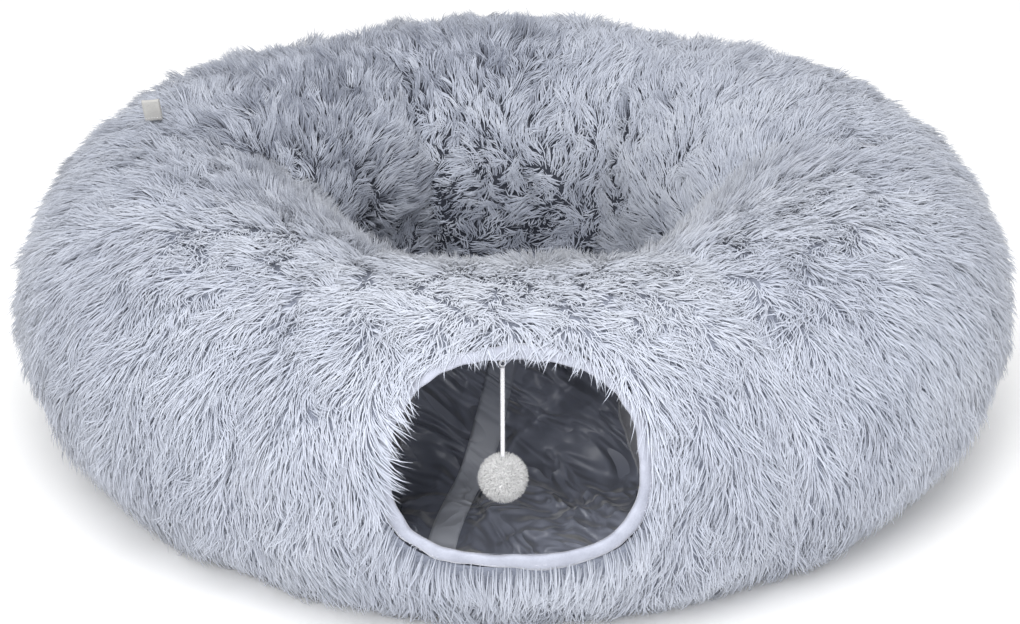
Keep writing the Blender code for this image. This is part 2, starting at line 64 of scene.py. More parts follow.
# Ring and tube, as in the frame
RING_RADIUS = 0.295
TUBE_HALF_WIDTH = 0.155
TUBE_HEIGHT = 0.272
TUBE_CENTRE_HEIGHT = 0.132
WELL_CORNER_RADIUS = 0.030
SEAM_CORNER_RADIUS = 0.140
SEAM_DRAW_IN = 0.011
END_DRAW_IN = 0.005
WELL_DRAW_IN = 0.026
ROUND_EXPONENT = 2.1
PUFF_EXPONENT = 0.6
FOOT_REACH_SHARE = 1.15
HALF_GROOVE = 0.006
PANELS_PER_HALF = 3
PANEL_GAP = 0.0003
COVER_THICKNESS = 0.022
LINING_INSET = 0.0223
CHANNEL_INSET = 0.0236
HOOP_WIRE_RADIUS = 0.0015
CHANNEL_HALF_WIDTH = 0.012
CHANNEL_CREST_REACH = 0.004
CHANNEL_THICKNESS = 0.0008
CHANNEL_EDGE_LIFT = 0.0004
CHANNEL_PUCKER = 0.00055
CHANNEL_EDGE_WAVER = 0.0007
CHANNEL_THREAD = 0.00026
END_HOOP_INSET = 0.0013
GAP = 0.0003
INWARD_STEP = 0.002

# Entrance and its binding
ENTRANCE_HALF_WIDTH = 0.0955
ENTRANCE_HALF_HEIGHT = 0.0785
ENTRANCE_TILT = math.radians(20.7)
ENTRANCE_AXIS = np.array([0, -math.cos(ENTRANCE_TILT), math.sin(ENTRANCE_TILT)])
EDGE_SIDES = 256
ENTRANCE_TOP_EXPONENT = 2.3
ENTRANCE_FOOT_EXPONENT = 3.0
BINDING_WIDTH = 0.0105
BINDING_RECESS = 0.005
BINDING_THICKNESS = 0.0011
BINDING_THREAD = 0.00028
STITCHES_FROM_EDGE = 0.0024
BINDING_WAVER_REACH = 0.006
TAPE_FLAT_SHARES = (1.0, 0.75, 0.5)
TAPE_FLAT_DEPTHS = (0.0014, 0.0002, -0.0003)
TAPE_TUCK_ACROSS = (0.0, 0.0012)
TAPE_TUCK_DEPTHS = (0.0046, 0.0060)
FACING_STEPS = 10
FACING_START = (0.0022, 0.0100)
FACING_CORNER_ACROSS = 0.0076
FACING_END_ACROSS = 0.0170
FACING_LIFT = 0.0004
CUTTER_SIDES = 96
CUTTER_DEPTHS = (-0.02, 0.055)

# Toy, whose eye turns about this point
TOY_PIVOT = Vector((-0.00921, -0.37962, 0.22837))
CORD_TOP_DROP = 0.0032
CORD_LENGTH = 0.076
CORD_RADIUS = 0.00175
CORD_POINTS = 18
BRAID_STEPS = 190
BRAID_SIDES = 24
BRAID_LAY = 0.0042
POM_POM_DROP = 0.0978
POM_POM_RADIUS = 0.0185
TACK_LIFT = 0.00395
TACK_SIZE = (0.007, 0.004, 0.0015)

# Zips: their teeth run on circles about these centres
ZIP_RADIUS = 0.1245
ZIP_CENTRE_OUT = 0.0105
ZIP_FIRST_ANGLE = math.radians(155)
ZIP_TAPE_HALF_THICKNESS = 0.0004
ZIP_TAPE_STEPS = 260
ZIP_TAPE_WIDTHS = (HALF_GROOVE - GAP, 0.0042, 0.0030, 0.0019)
ZIP_TAPE_THICKNESS_SHARES = (0.9, 1.0, 1.0, 0.8)
ZIP_TAPE_RIPPLE = 0.00012
ZIP_TAPE_RIBS = 190
COIL_PITCH = 0.0018
COIL_WIRE_RADIUS = 0.00036
COIL_MIDDLE = 0.00135
COIL_REACH = 0.00130
COIL_HALF_HEIGHT = 0.00088
COIL_STEPS = 9
COIL_SIDES = 5

# Centre mat
MAT_HEIGHT = 0.058
MAT_BASE_THICKNESS = 0.0015
MAT_PIPING_RADIUS = 0.0025
MAT_PIPING_LIFT = 0.0002
MAT_BASE_SHARE = 0.965
MAT_PIPING_SHARE = 0.97
MAT_PROFILE_SHARES = (
    (0.965, 0.0), (0.990, 0.20), (1.000, 0.48), (0.985, 0.70), (0.900, 0.86), (0.620, 0.96), (0.220, 1.0),
)
MAT_SKIN_INSET = 0.009
MAT_SKIN_THICKNESS = 0.003
MAT_SKIN_GRID = (128, 40)
MAT_STUFFING_INSET = MAT_SKIN_INSET + 0.0045
MAT_STUFFING_GRID = (96, 30)
STUFFING_SINK = 0.0012
STUFFING_LUMPS = 0.0008
STUFFING_FLOOR_SHARES = (0.93, 0.955)
STUFFING_FLOOR_LIFTS = (0.0, 0.0004, 0.0015)
MAT_BASE_SHARES = (0.02, 0.3, 0.6, 0.85, 0.93, 0.95, 0.96)
MAT_BASE_COLUMNS = 160
MAT_BASE_LIFT = 0.0008
MAT_BASE_WAVE = 0.0001
MAT_BASE_EDGE_LIFT = 0.0007
MAT_HEM_RISE = 0.0006
MAT_PILE_GRID = (96, 48)
MAT_DENT = 0.0012
MAT_TUFT = 0.010
MAT_PIPING_STEPS = 420
MAT_PIPING_SIDES = 14
MAT_SMOOTHINGS = 6

# Lining: its creases, broad (True) and narrow (False), and the size that each panel is cut to
FOLDS = 170
BROAD_FOLDS = FOLDS // 3
FOLD_LENGTHS = {True: (0.12, 0.28), False: (0.06, 0.18)}
FOLD_WIDTHS = {True: (0.010, 0.018), False: (0.0045, 0.0080)}
FOLD_HEIGHT_SHARES = (0.50, 0.85)
FOLD_LEAN = (0.80, 0.28)
FOLD_LEANING_SHARE = 0.8
FOLD_STEEP_SIDE = 0.42
FOLD_SPREAD = 0.16
FOLD_LIMIT = 0.016
SAG_DEPTH = 0.0025
SAG_WAVELENGTH = 0.10
CRINKLE_DEPTH = 0.0003
CRINKLE_WAVELENGTH = 0.012
FLAT_BESIDE_HOOP = 0.014
SLACK_FROM_HOOP = 0.040
FLAT_BESIDE_STRIP = 0.014
SATIN_THICKNESS = 0.0005
LINING_GRID = {"left": (84, 210), "entrance": (130, 300), "right": (84, 210)}
LINING_HEM_ACROSS = 0.0125
HEM_FOOT_ACROSS = 0.0085
RIM_MEASURE_LIMIT = 1.3

# Sheer strip over the slanting seam in the front tunnel: azimuths at places counted in the section's rows
STRIP_ROWS = (41.0, 66.0, 76.0, 90.0)
STRIP_AZIMUTHS = tuple(math.radians(a) for a in (3.0, -3.5, -10.0, -9.5))
STRIP_HALF_WIDTH = 0.012
STRIP_COLUMNS = 9
STRIP_STEPS = 150
STRIP_LIFT = 0.0010
STRIP_WAVE = 0.0007
STRIP_THICKNESS = 0.0004

# Fineness of the small pieces
POM_POM_YARNS = 6400
POM_POM_CORE_SHARE = 0.82
POM_POM_YARN_RADII = (0.00034, 0.00042, 0.00030)
TACK_TURNS = 11
TACK_TURN_STEPS = 20
THREAD_SIDES = 8
STITCH_STEPS = 5
STITCH_SIDES = 6
BINDING_COLUMNS = 220
BINDING_STITCHES = 150
BINDING_ROLL = 0.0032
BINDING_WAVER = 0.0014
CHANNEL_ROWS = 420
CHANNEL_COLUMNS = 15
HOOP_WIRE_SIDES = 10

# Label
LABEL_AZIMUTH = math.radians(84)
LABEL_ANGLE = math.radians(77)
LABEL_FLAT_STEP = math.radians(18)
LABEL_SINK = 0.0006
LABEL_WIDTH = 0.016
LABEL_HEIGHT = 0.020
LABEL_HALF_DEPTH = 0.002
LABEL_RIBBON = 0.0006
LABEL_BOW = 0.0009
LABEL_THREAD = 0.00024
LABEL_PINCH = 0.45
LABEL_PINCH_REACH = 0.006
LABEL_STITCH_HEIGHT = 0.0028
LABEL_HALF_STITCH = 0.0008

# Pressed metal
METAL_EDGE = 0.00022

# Rows of points round the tube's section
FOOT_ROWS = 10
CREST_ROWS = 56
WALL_ROWS = 8
CORNER_ROWS = 8
BASE_ROWS = 10
COLUMNS_PER_PANEL = 36

# Where the inset of the base goes over to the inset under the pile, as an angle up from level
BLEND_FROM = -1.25
BLEND_OVER = 0.7

# The front tube sags a little over its entrance
CREST_DIP = 0.008
CREST_DIP_REACH = 0.42
CREST_DIP_ANGLE = math.radians(100)
CREST_DIP_SPREAD = math.radians(48)

# Pile
SKIN_INSET = 0.012
PILE_BASE_INSET = 0.001
STRAND_LEVELS = (0.0, 0.36, 0.72, 1.0)
STRAND_RADII = (0.00043, 0.00054, 0.00032)
STRAND_LENGTHS = (0.020, 0.032)
MAT_STRAND_LENGTHS = (0.018, 0.026)
STRAND_FLOOR = 0.0022
SMALL_TUFT = 0.0085
LARGE_TUFT = 0.019
BAND_SHARES = (0.30, 0.62)
STRANDS_PER_M2 = {"foot": 80000, "flank": 135000, "crest": 150000, "well": 155000, "mat": 120000}
FUR_EDGE_ACROSS = 0.0080
FUR_BESIDE_ENTRANCE = 0.030
GROOVE_COVER = 0.009
GROOVE_COVER_FROM = 0.016
RIM_RISE = 0.0078
RIM_RAISED_BELOW = 2.0
NORMAL_SHARE = 0.70
THICKNESS_SPREAD = (0.75, 1.25)
MAT_THICKNESS_SPREAD = (0.75, 1.3)
UV_MARGIN = 0.01
UV_SHADE_SPAN = 0.93
UV_AROUND_SPAN = 0.05
UV_ALONG_SPAN = 0.98
CALM_FROM = 0.10
CALM_OVER = 0.12
CALM_HALF_WIDTH = 0.17

HALF_END = math.pi / 2
PANEL_ANGLE = math.pi / PANELS_PER_HALF
WALL_RADIUS = (TUBE_HALF_WIDTH + TUBE_HEIGHT - TUBE_CENTRE_HEIGHT) / 2

# Each half: its name, its body, its panels in order of azimuth, and whether it is turned
HALVES = (
    ("front", "front_half", ("left", "entrance", "right"), False),
    ("rear", "rear_half", ("right", "entrance", "left"), True),
)


# ---- Camera, light and floor ----


def add_object(name, data):
    item = bpy.data.objects.new(name, data)
    bpy.context.scene.collection.objects.link(item)
    return item


def look_along(item, direction):
    item.rotation_mode = "QUATERNION"
    item.rotation_quaternion = direction.to_track_quat("-Z", "Y")


def add_camera():
    data = bpy.data.cameras.new("camera")
    data.lens = CAMERA_LENS
    data.shift_x, data.shift_y = CAMERA_SHIFT
    data.clip_end = CAMERA_REACH
    camera = add_object("camera", data)
    back = Vector((0, -math.cos(CAMERA_ELEVATION), math.sin(CAMERA_ELEVATION)))
    camera.location = CAMERA_AIM + back * CAMERA_DISTANCE
    look_along(camera, -back)
    bpy.context.scene.camera = camera


def add_light(name, place, aim, size, power):
    data = bpy.data.lights.new(name, "AREA")
    data.shape = "DISK"
    data.size = size
    data.energy = power
    light = add_object(name, data)
    light.location = place
    look_along(light, Vector(aim) - Vector(place))


def add_studio():
    world = bpy.data.worlds.new("studio")
    world.use_nodes = True
    sky = world.node_tree.nodes["Background"]
    sky.inputs["Color"].default_value = (1.0, 1.0, 1.0, 1)
    sky.inputs["Strength"].default_value = SKY_STRENGTH
    bpy.context.scene.world = world
    for light in LIGHTS:
        add_light(*light)
    bm = bmesh.new()
    bmesh.ops.create_grid(bm, x_segments=1, y_segments=1, size=FLOOR_HALF_SIZE)
    mesh = bpy.data.meshes.new("floor")
    bm.to_mesh(mesh)
    bm.free()
    floor = add_object("floor", mesh)
    floor.location.z = -FLOOR_DROP
    material, shader, _, _ = new_material("floor_paper", 0.9)
    shader.inputs["Base Color"].default_value = (0.92, 0.92, 0.92, 1)
    mesh.materials.append(material)
    bpy.context.scene.view_settings.view_transform = "Standard"


# ---- Materials ----


def new_material(name, roughness, sheen=0.0):
    """A Principled material: it, its shader, a function that adds and feeds nodes, and its coordinates."""
    material = bpy.data.materials.new(name)
    material.use_nodes = True
    tree = material.node_tree
    shader = tree.nodes["Principled BSDF"]
    shader.inputs["Roughness"].default_value = roughness
    shader.inputs["Sheen Weight"].default_value = sheen

    def node(kind, settings=None, **inputs):
        made = tree.nodes.new(kind)
        for key, value in (settings or {}).items():
            setattr(made, key, value)
        for key, value in inputs.items():
            socket = made.inputs[key.replace("_", " ")]
            if isinstance(value, bpy.types.NodeSocket):
                tree.links.new(value, socket)
            else:
                socket.default_value = value
        return made

    return material, shader, node, node("ShaderNodeTexCoord").outputs["Object"]


def ramp(node, fac, stops):
    made = node("ShaderNodeValToRGB", Fac=fac)
    elements = made.color_ramp.elements
    while len(elements) < len(stops):
        elements.new(0.5)
    for element, (place, color) in zip(elements, stops):
        element.position = place
        element.color = (*color, 1)
    return made.outputs["Color"]


def join(output, shader, name):
    shader.id_data.links.new(output, shader.inputs[name])


def noise(node, coordinates, scale, detail, **more):
    """Noise over the piece's own coordinates."""
    made = node("ShaderNodeTexNoise", Vector=coordinates, Scale=scale, Detail=detail, **more)
    return made.outputs["Fac"]


def bumped(node, shader, height, strength, distance, **more):
    """Relief of a depth in metres, joined to the shader; returned so that more can be laid over it."""
    made = node("ShaderNodeBump", Height=height, Strength=strength, Distance=distance, **more)
    join(made.outputs["Normal"], shader, "Normal")
    return made.outputs["Normal"]


def grey(value):
    return (value, value, value)


def mixed(node, fac, a, b, blend="MIX"):
    made = node("ShaderNodeMix", {"data_type": "RGBA", "blend_type": blend})
    links = made.id_data.links
    for key, value in (("Factor_Float", fac), ("A_Color", a), ("B_Color", b)):
        socket = next(s for s in made.inputs if s.identifier == key)
        if isinstance(value, bpy.types.NodeSocket):
            links.new(value, socket)
        else:
            socket.default_value = value if key == "Factor_Float" else (*value, 1)
    return next(s for s in made.outputs if s.identifier == "Result_Color")


def pile_material(name, roots, tips):
    """Strands run from root to tip along V, darkened towards the roots as painted shade deep in the pile;
    along U they go from the dark shades to the light ones, where the darkest are painted shade.
    """
    material, shader, node, _ = new_material(name, 0.62, 0.25)
    shader.inputs["Sheen Roughness"].default_value = 0.5
    place = node("ShaderNodeUVMap", {"uv_map": "OFBake"}).outputs["UV"]
    split = node("ShaderNodeSeparateXYZ", Vector=place)
    # painted shade: each strand goes from its darker root colour to its tip colour along V
    along = ramp(node, split.outputs["Y"], ((0.04, grey(0)), (0.35, grey(0.62)), (0.75, grey(1))))
    root = ramp(node, split.outputs["X"], roots)
    tip = ramp(node, split.outputs["X"], tips)
    join(mixed(node, along, root, tip), shader, "Base Color")
    return material


def skin_material():
    """Short backing between the strands: darker in the well as painted shade, paler outside."""
    material, shader, node, coordinates = new_material("plush_backing", 0.95)
    fibres = noise(node, coordinates, 900.0, 3.0)
    level = node("ShaderNodeVectorMath", {"operation": "MULTIPLY"})
    join(coordinates, level, 0)
    level.inputs[1].default_value = (1, 1, 0)
    reach = node("ShaderNodeVectorMath", {"operation": "LENGTH"})
    join(level.outputs["Vector"], reach, 0)
    # inner is painted shade, dark backing in the well; outer is the paler backing outside; share goes from
    # one to the other with the distance from the Z axis
    inner = ramp(node, fibres, ((0.3, (0.020, 0.023, 0.032)), (0.7, (0.050, 0.055, 0.075))))
    outer = ramp(node, fibres, ((0.3, (0.19, 0.21, 0.26)), (0.7, (0.27, 0.29, 0.36))))
    share = ramp(node, reach.outputs["Value"], ((0.24, grey(0)), (0.36, grey(1))))
    join(mixed(node, share, inner, outer), shader, "Base Color")
    bumped(node, shader, fibres, 0.6, 0.001)
    return material


def satin_material(name, dark, light, roughness, creased=0.0, painted_shade_above=None):
    """Satin in which long slanting creases catch the light; higher up it may take another colour, painted
    shade of the upper wall.
    """
    material, shader, node, coordinates = new_material(name, roughness, 0.3)
    shader.inputs["Sheen Roughness"].default_value = 0.35
    weave = noise(node, coordinates, 1800.0, 2.0)
    color = ramp(node, noise(node, coordinates, 9.0, 4.0), ((0.25, dark), (0.8, light)))
    # painted shade: above a height the colour goes over to the darker upper colour
    if painted_shade_above:
        height = node("ShaderNodeSeparateXYZ", Vector=coordinates).outputs["Z"]
        color = mixed(node, ramp(node, height, ((0.035, grey(0)), (0.100, grey(1)))), color, painted_shade_above)
    join(color, shader, "Base Color")
    woven = bumped(node, shader, weave, 0.25, 0.0004)
    if creased:
        slant = node("ShaderNodeMapping", {"vector_type": "TEXTURE"}, Vector=coordinates)
        slant.inputs["Rotation"].default_value = (0.0, 0.65, 0.45)
        slant.inputs["Scale"].default_value = (0.15, 0.06, 0.032)
        folds = noise(node, slant.outputs["Vector"], 1.0, 2.0, Distortion=0.6)
        ridges = ramp(node, folds, ((0.30, grey(0)), (0.50, grey(1)), (0.66, grey(0.25))))
        bumped(node, shader, ridges, 1.0, creased, Normal=woven)
    return material


def tape_material(name, dark, light):
    """Brushed tape: fine cross threads and a soft nap."""
    material, shader, node, coordinates = new_material(name, 0.7, 0.5)
    shader.inputs["Sheen Roughness"].default_value = 0.4
    nap = noise(node, coordinates, 700.0, 4.0)
    fac = node("ShaderNodeMath", {"operation": "MULTIPLY_ADD"})
    join(nap, fac, 0)
    fac.inputs[1].default_value = 0.5
    join(noise(node, coordinates, 60.0, 2.0), fac, 2)
    join(ramp(node, fac.outputs[0], ((0.45, dark), (1.0, light))), shader, "Base Color")
    bumped(node, shader, nap, 0.4, 0.0005)
    return material


def metal_material(name, color):
    material, shader, node, coordinates = new_material(name, 0.3)
    shader.inputs["Metallic"].default_value = 1.0
    drawn = noise(node, coordinates, 400.0, 4.0)
    dull = [c * 0.72 for c in color]
    join(ramp(node, drawn, ((0.3, dull), (0.7, color))), shader, "Base Color")
    rough = node("ShaderNodeMapRange", Value=drawn)
    rough.inputs["To Min"].default_value = 0.22
    rough.inputs["To Max"].default_value = 0.42
    join(rough.outputs["Result"], shader, "Roughness")
    return material


def thread_material(name, dark, light, scale=900.0):
    """Twisted fibres, lighter on their crowns."""
    material, shader, node, coordinates = new_material(name, 0.75, 0.35)
    fibres = noise(node, coordinates, scale, 4.0, Roughness=0.6)
    fine = ramp(node, fibres, ((0.35, dark), (0.62, light)))
    broad = ramp(node, noise(node, coordinates, scale / 12, 2.0), ((0.3, (0.90, 0.90, 0.91)), (0.7, grey(1))))
    join(mixed(node, 1.0, fine, broad, "MULTIPLY"), shader, "Base Color")
    bumped(node, shader, fibres, 0.4, 0.0003)
    return material


# ---- Numbers and points ----


def smooth(share):
    """Eased from 0 to 1, and held at the ends."""
    share = np.clip(share, 0, 1)
    return share * share * (3 - 2 * share)


def circle(sides):
    """Evenly spaced angles once round."""
    return np.linspace(0, 2 * np.pi, sides, endpoint=False)


def unit(vectors):
    return vectors / np.maximum(np.linalg.norm(vectors, axis=-1, keepdims=True), 1e-9)


def on_half(points, rear):
    """The rear half is the front half turned half round the Z axis."""
    return points * np.array([-1, -1, 1]) if rear else points


# ---- Shape of the tube ----


def signed_power(value, exponent):
    return np.sign(value) * np.abs(value) ** (2 / exponent)


def puff(azimuth):
    """0 at a seam between panels, 1 in the middle of a panel."""
    share = (azimuth + HALF_END) / PANEL_ANGLE % 1
    return np.maximum(np.sin(np.pi * share), 0.0) ** PUFF_EXPONENT


def section_sizes(azimuth, inset):
    """Outer reach, reach into the well, crest, foot and well corner, for columns of azimuths."""
    at_end = np.abs(azimuth) > HALF_END - PANEL_ANGLE / 2
    seam = 1 - puff(azimuth)
    drawn = np.where(at_end, END_DRAW_IN, SEAM_DRAW_IN) * seam
    outer = TUBE_HALF_WIDTH - drawn - inset
    well = TUBE_HALF_WIDTH - WELL_DRAW_IN * seam - inset
    crest = TUBE_HEIGHT - drawn - inset - TUBE_CENTRE_HEIGHT
    foot = (TUBE_CENTRE_HEIGHT - inset) * FOOT_REACH_SHARE
    corner = WELL_CORNER_RADIUS * (1 - seam) + SEAM_CORNER_RADIUS * seam
    return outer, well, crest, foot, corner * well / TUBE_HALF_WIDTH


def row_angles():
    """Angles of the round part's rows, from the foot over the crest to the well."""
    foot_angle = math.asin(FOOT_REACH_SHARE ** (-ROUND_EXPONENT / 2))
    foot = np.linspace(-foot_angle, 0, FOOT_ROWS, endpoint=False)
    return np.concatenate([foot, np.linspace(0, np.pi, CREST_ROWS)])


def round_rows(sizes, angles):
    outer, well, crest, foot, _ = sizes
    reach = np.where(np.cos(angles) >= 0, outer, well)
    rise = np.where(np.sin(angles) >= 0, crest, foot)
    outward = reach * signed_power(np.cos(angles), ROUND_EXPONENT)
    return outward, TUBE_CENTRE_HEIGHT + rise * signed_power(np.sin(angles), ROUND_EXPONENT)


def tube_section(azimuth, inset):
    """Outline for each azimuth: up from the foot, over the crest, down the well, back along the base."""
    azimuth = np.asarray(azimuth, float)[:, None]
    sizes = section_sizes(azimuth, inset)
    _, well, _, _, corner = sizes
    outward, height = round_rows(sizes, row_angles()[None, :])
    down = np.linspace(0, 1, WALL_ROWS + 1)[None, 1:-1]
    turn = np.linspace(0, HALF_END, CORNER_ROWS)[None, :]
    back = np.linspace(0, 1, BASE_ROWS + 1)[None, 1:-1]
    corner_out = corner * (1 - np.cos(turn)) - well
    corner_up = inset + corner * (1 - np.sin(turn))
    base_out = corner_out[:, -1:] + (outward[:, :1] - corner_out[:, -1:]) * back
    outs = [outward, -well + 0 * down, corner_out, base_out]
    ups = [height, TUBE_CENTRE_HEIGHT + (corner_up[:, :1] - TUBE_CENTRE_HEIGHT) * down, corner_up]
    ups.append(inset + 0 * base_out)
    return np.concatenate(outs, 1), np.concatenate(ups, 1)


def ring_points(azimuth, outward, height):
    radius = RING_RADIUS + outward
    x = radius * np.sin(azimuth)
    y = -HALF_GROOVE - radius * np.cos(azimuth)
    return np.stack([x, y, height + 0 * x], -1)


def tube_points(azimuth, inset):
    """Grid of points, a column for each azimuth and a row for each place on the section."""
    azimuth = np.asarray(azimuth, float)
    outward, height = tube_section(azimuth, inset)
    return ring_points(azimuth[:, None], outward, height)


def blended_tube(azimuth, pile_inset, base_inset, dip=0.0):
    """The tube inset by one depth under the pile and by another on its base; its crest may dip."""
    share = np.zeros(row_count())
    angles = row_angles()
    share[: len(angles)] = np.clip((angles - BLEND_FROM) / BLEND_OVER, 0, 1)
    share[len(angles) : len(angles) + WALL_ROWS - 1] = 1
    corner = len(angles) + WALL_ROWS - 1
    share[corner : corner + CORNER_ROWS] = np.linspace(1, 0, CORNER_ROWS)
    share = smooth(share)[None, :, None]
    points = tube_points(azimuth, pile_inset) * share + tube_points(azimuth, base_inset) * (1 - share)
    lean = np.exp(-((np.asarray(azimuth) / CREST_DIP_REACH) ** 2))[:, None]
    top = np.zeros(row_count())
    top[: len(angles)] = np.exp(-(((angles - CREST_DIP_ANGLE) / CREST_DIP_SPREAD) ** 2))
    points[..., 2] -= dip * lean * top[None, :]
    return points


def row_count():
    return FOOT_ROWS + CREST_ROWS + WALL_ROWS - 1 + CORNER_ROWS + BASE_ROWS - 1


def panel_azimuths(panel, columns=COLUMNS_PER_PANEL):
    azimuths = -HALF_END + PANEL_ANGLE * (panel + np.linspace(0, 1, columns + 1))
    trim = PANEL_GAP / (2 * (RING_RADIUS - TUBE_HALF_WIDTH))
    if panel > 0:
        azimuths[0] += trim
    if panel < PANELS_PER_HALF - 1:
        azimuths[-1] -= trim
    return azimuths


def opening_measure(azimuth, angle, across=0.0):
    """1 on the entrance's edge moved out by a distance across the wall, less inside it."""
    wide = (ENTRANCE_HALF_WIDTH + across) / (RING_RADIUS + TUBE_HALF_WIDTH)
    tall = (ENTRANCE_HALF_HEIGHT + across) / WALL_RADIUS
    exponent = np.where(angle > ENTRANCE_TILT, ENTRANCE_TOP_EXPONENT, ENTRANCE_FOOT_EXPONENT)
    power = np.abs(azimuth / wide) ** exponent + np.abs((angle - ENTRANCE_TILT) / tall) ** exponent
    return power ** (1 / exponent)


def entrance_wall(turn, across, inset):
    """Points at a distance across the wall from the clear opening, on the tube's surface at an inset."""
    exponent = np.where(np.sin(turn) > 0, ENTRANCE_TOP_EXPONENT, ENTRANCE_FOOT_EXPONENT)
    azimuth = (ENTRANCE_HALF_WIDTH + across) / (RING_RADIUS + TUBE_HALF_WIDTH)
    azimuth = azimuth * signed_power(np.cos(turn), exponent)
    rise = (ENTRANCE_HALF_HEIGHT + across) / WALL_RADIUS
    angle = ENTRANCE_TILT + rise * signed_power(np.sin(turn), exponent)
    return ring_points(azimuth, *round_rows(section_sizes(azimuth, inset), angle))


def entrance_points(turn, across, depth):
    """Points on the entrance's wall: across from the clear opening, depth below the pile's tips."""
    return entrance_wall(turn, across, 0.0) - ENTRANCE_AXIS * np.asarray(depth)[..., None]


def beyond_entrance(points, across):
    """How far points lie outside the entrance's edge, moved out by a distance, looking along its axis."""
    up = np.array([0, math.sin(ENTRANCE_TILT), math.cos(ENTRANCE_TILT)])
    edge = entrance_points(circle(EDGE_SIDES), across, np.zeros(EDGE_SIDES))
    middle = edge.mean(0)
    rim_x, rim_up = edge[:, 0] - middle[0], (edge - middle) @ up
    x, rise = points[..., 0] - middle[0], (points - middle) @ up
    rim_turn, rim_reach = np.arctan2(rim_up, rim_x), np.hypot(rim_x, rim_up)
    return np.hypot(x, rise) - np.interp(np.arctan2(rise, x), rim_turn, rim_reach, period=2 * np.pi)


def rim_raised(points):
    """The backing's grid drawn out along the entrance's axis, up to the back of the binding's face."""
    share = smooth(1 - np.maximum(beyond_entrance(points, FUR_EDGE_ACROSS), 0) / FUR_BESIDE_ENTRANCE)
    share[:, row_angles().searchsorted(RIM_RAISED_BELOW) :] = 0
    return points + ENTRANCE_AXIS * (RIM_RISE * share)[..., None]


# ---- Mesh helpers ----


def add_mesh(name, points, faces, material, body):
    mesh = bpy.data.meshes.new(name)
    mesh.from_pydata(points.reshape(-1, 3).tolist(), [], faces)
    return add_piece(name, mesh, material, body)


def add_piece(name, mesh, material, body):
    mesh.shade_smooth()
    mesh.materials.append(material)
    item = add_object(name, mesh)
    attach(item, body)
    return item


def lattice_faces(columns, rows, wrap_columns, wrap_rows, first=0):
    """Quads over a grid of points that is numbered column by column."""
    faces = []
    for i in range(columns if wrap_columns else columns - 1):
        for j in range(rows if wrap_rows else rows - 1):
            a = first + i * rows + j
            b = first + (i + 1) % columns * rows + j
            c = first + (i + 1) % columns * rows + (j + 1) % rows
            d = first + i * rows + (j + 1) % rows
            faces.append((a, b, c, d))
    return faces


def shell(outer, inner):
    """Closed wall between two grids whose rows run all round."""
    columns, rows = outer.shape[:2]
    points = np.concatenate([outer, inner[::-1]])
    return points, lattice_faces(2 * columns, rows, True, True)


def outward_faces(mesh):
    bm = bmesh.new()
    bm.from_mesh(mesh)
    bmesh.ops.recalc_face_normals(bm, faces=bm.faces)
    bm.to_mesh(mesh)
    bm.free()


def cut_opening(item, rear):
    """Cut the entrance through a panel, just outside the binding."""
    sides = CUTTER_SIDES
    turns, across = circle(sides), np.full(sides, BINDING_WIDTH + GAP)
    loops = np.stack([entrance_points(turns, across, np.full(sides, depth)) for depth in CUTTER_DEPTHS])
    loops = on_half(loops, rear)
    faces = lattice_faces(2, sides, False, True)
    faces += [tuple(range(sides)), tuple(range(2 * sides - 1, sides - 1, -1))]
    mesh = bpy.data.meshes.new("opening_cutter")
    mesh.from_pydata(loops.reshape(-1, 3).tolist(), [], faces)
    outward_faces(mesh)
    cutter = add_object("opening_cutter", mesh)
    cut = item.modifiers.new("opening", "BOOLEAN")
    cut.operation = "DIFFERENCE"
    cut.solver = "EXACT"
    cut.use_self = True
    cut.object = cutter
    bpy.context.view_layer.update()
    evaluated = item.evaluated_get(bpy.context.evaluated_depsgraph_get())
    made = bpy.data.meshes.new_from_object(evaluated)
    item.modifiers.clear()
    item.data = made
    bpy.data.objects.remove(cutter)


# ---- Smooth random fields ----


def waves(seed, wavelength, count=14):
    """A smooth random function of place with unit spread: a sum of plane waves."""
    rng = np.random.default_rng(seed)
    direction = rng.normal(size=(count, 3))
    direction /= np.linalg.norm(direction, axis=1)[:, None]
    number = direction * (2 * np.pi / (wavelength * rng.uniform(0.7, 1.5, count)))[:, None]
    phase = rng.uniform(0, 2 * np.pi, count)
    scale = math.sqrt(2 / count)
    return lambda points: np.sin(points @ number.T + phase).sum(-1) * scale


# ---- Strands ----


def scatter(rng, count, weights):
    """Even-handed choice of cells in proportion to their weights."""
    total = np.cumsum(weights)
    marks = (np.arange(count) + rng.random(count)) / count * total[-1]
    return np.searchsorted(total, marks)


def on_grid(grid, i, j, across, along):
    """Bilinear place in each cell of a grid."""
    across, along = across[:, None], along[:, None]
    low = grid[i, j] * (1 - along) + grid[i, j + 1] * along
    high = grid[i + 1, j] * (1 - along) + grid[i + 1, j + 1] * along
    return low * (1 - across) + high * across


def cell_areas(grid):
    across, along = grid[1:, :-1] - grid[:-1, :-1], grid[:-1, 1:] - grid[:-1, :-1]
    return np.linalg.norm(np.cross(across, along), axis=-1)


def tufts(points, size, seed):
    """The tuft that each root belongs to: the nearest of one random middle in each cell."""
    rng = np.random.default_rng(seed)
    low = points.min(0) - 2 * size
    cells = np.floor((points - low) / size).astype(int)
    shape = cells.max(0) + 3
    middles = rng.random((*shape, 3))
    best = np.full(len(points), np.inf)
    owner = np.zeros(len(points), int)
    for step in np.ndindex(3, 3, 3):
        cell = cells + np.array(step) - 1
        middle = (cell + middles[cell[:, 0], cell[:, 1], cell[:, 2]]) * size + low
        away = ((points - middle) ** 2).sum(1)
        nearer = away < best
        best[nearer] = away[nearer]
        owner[nearer] = np.ravel_multi_index(cell[nearer].T, shape)
    return np.unique(owner, return_inverse=True)[1]


def per_tuft(owner, seed):
    """A normal random number for each tuft, given to its strands."""
    return np.random.default_rng(seed).normal(size=owner.max() + 1)[owner]


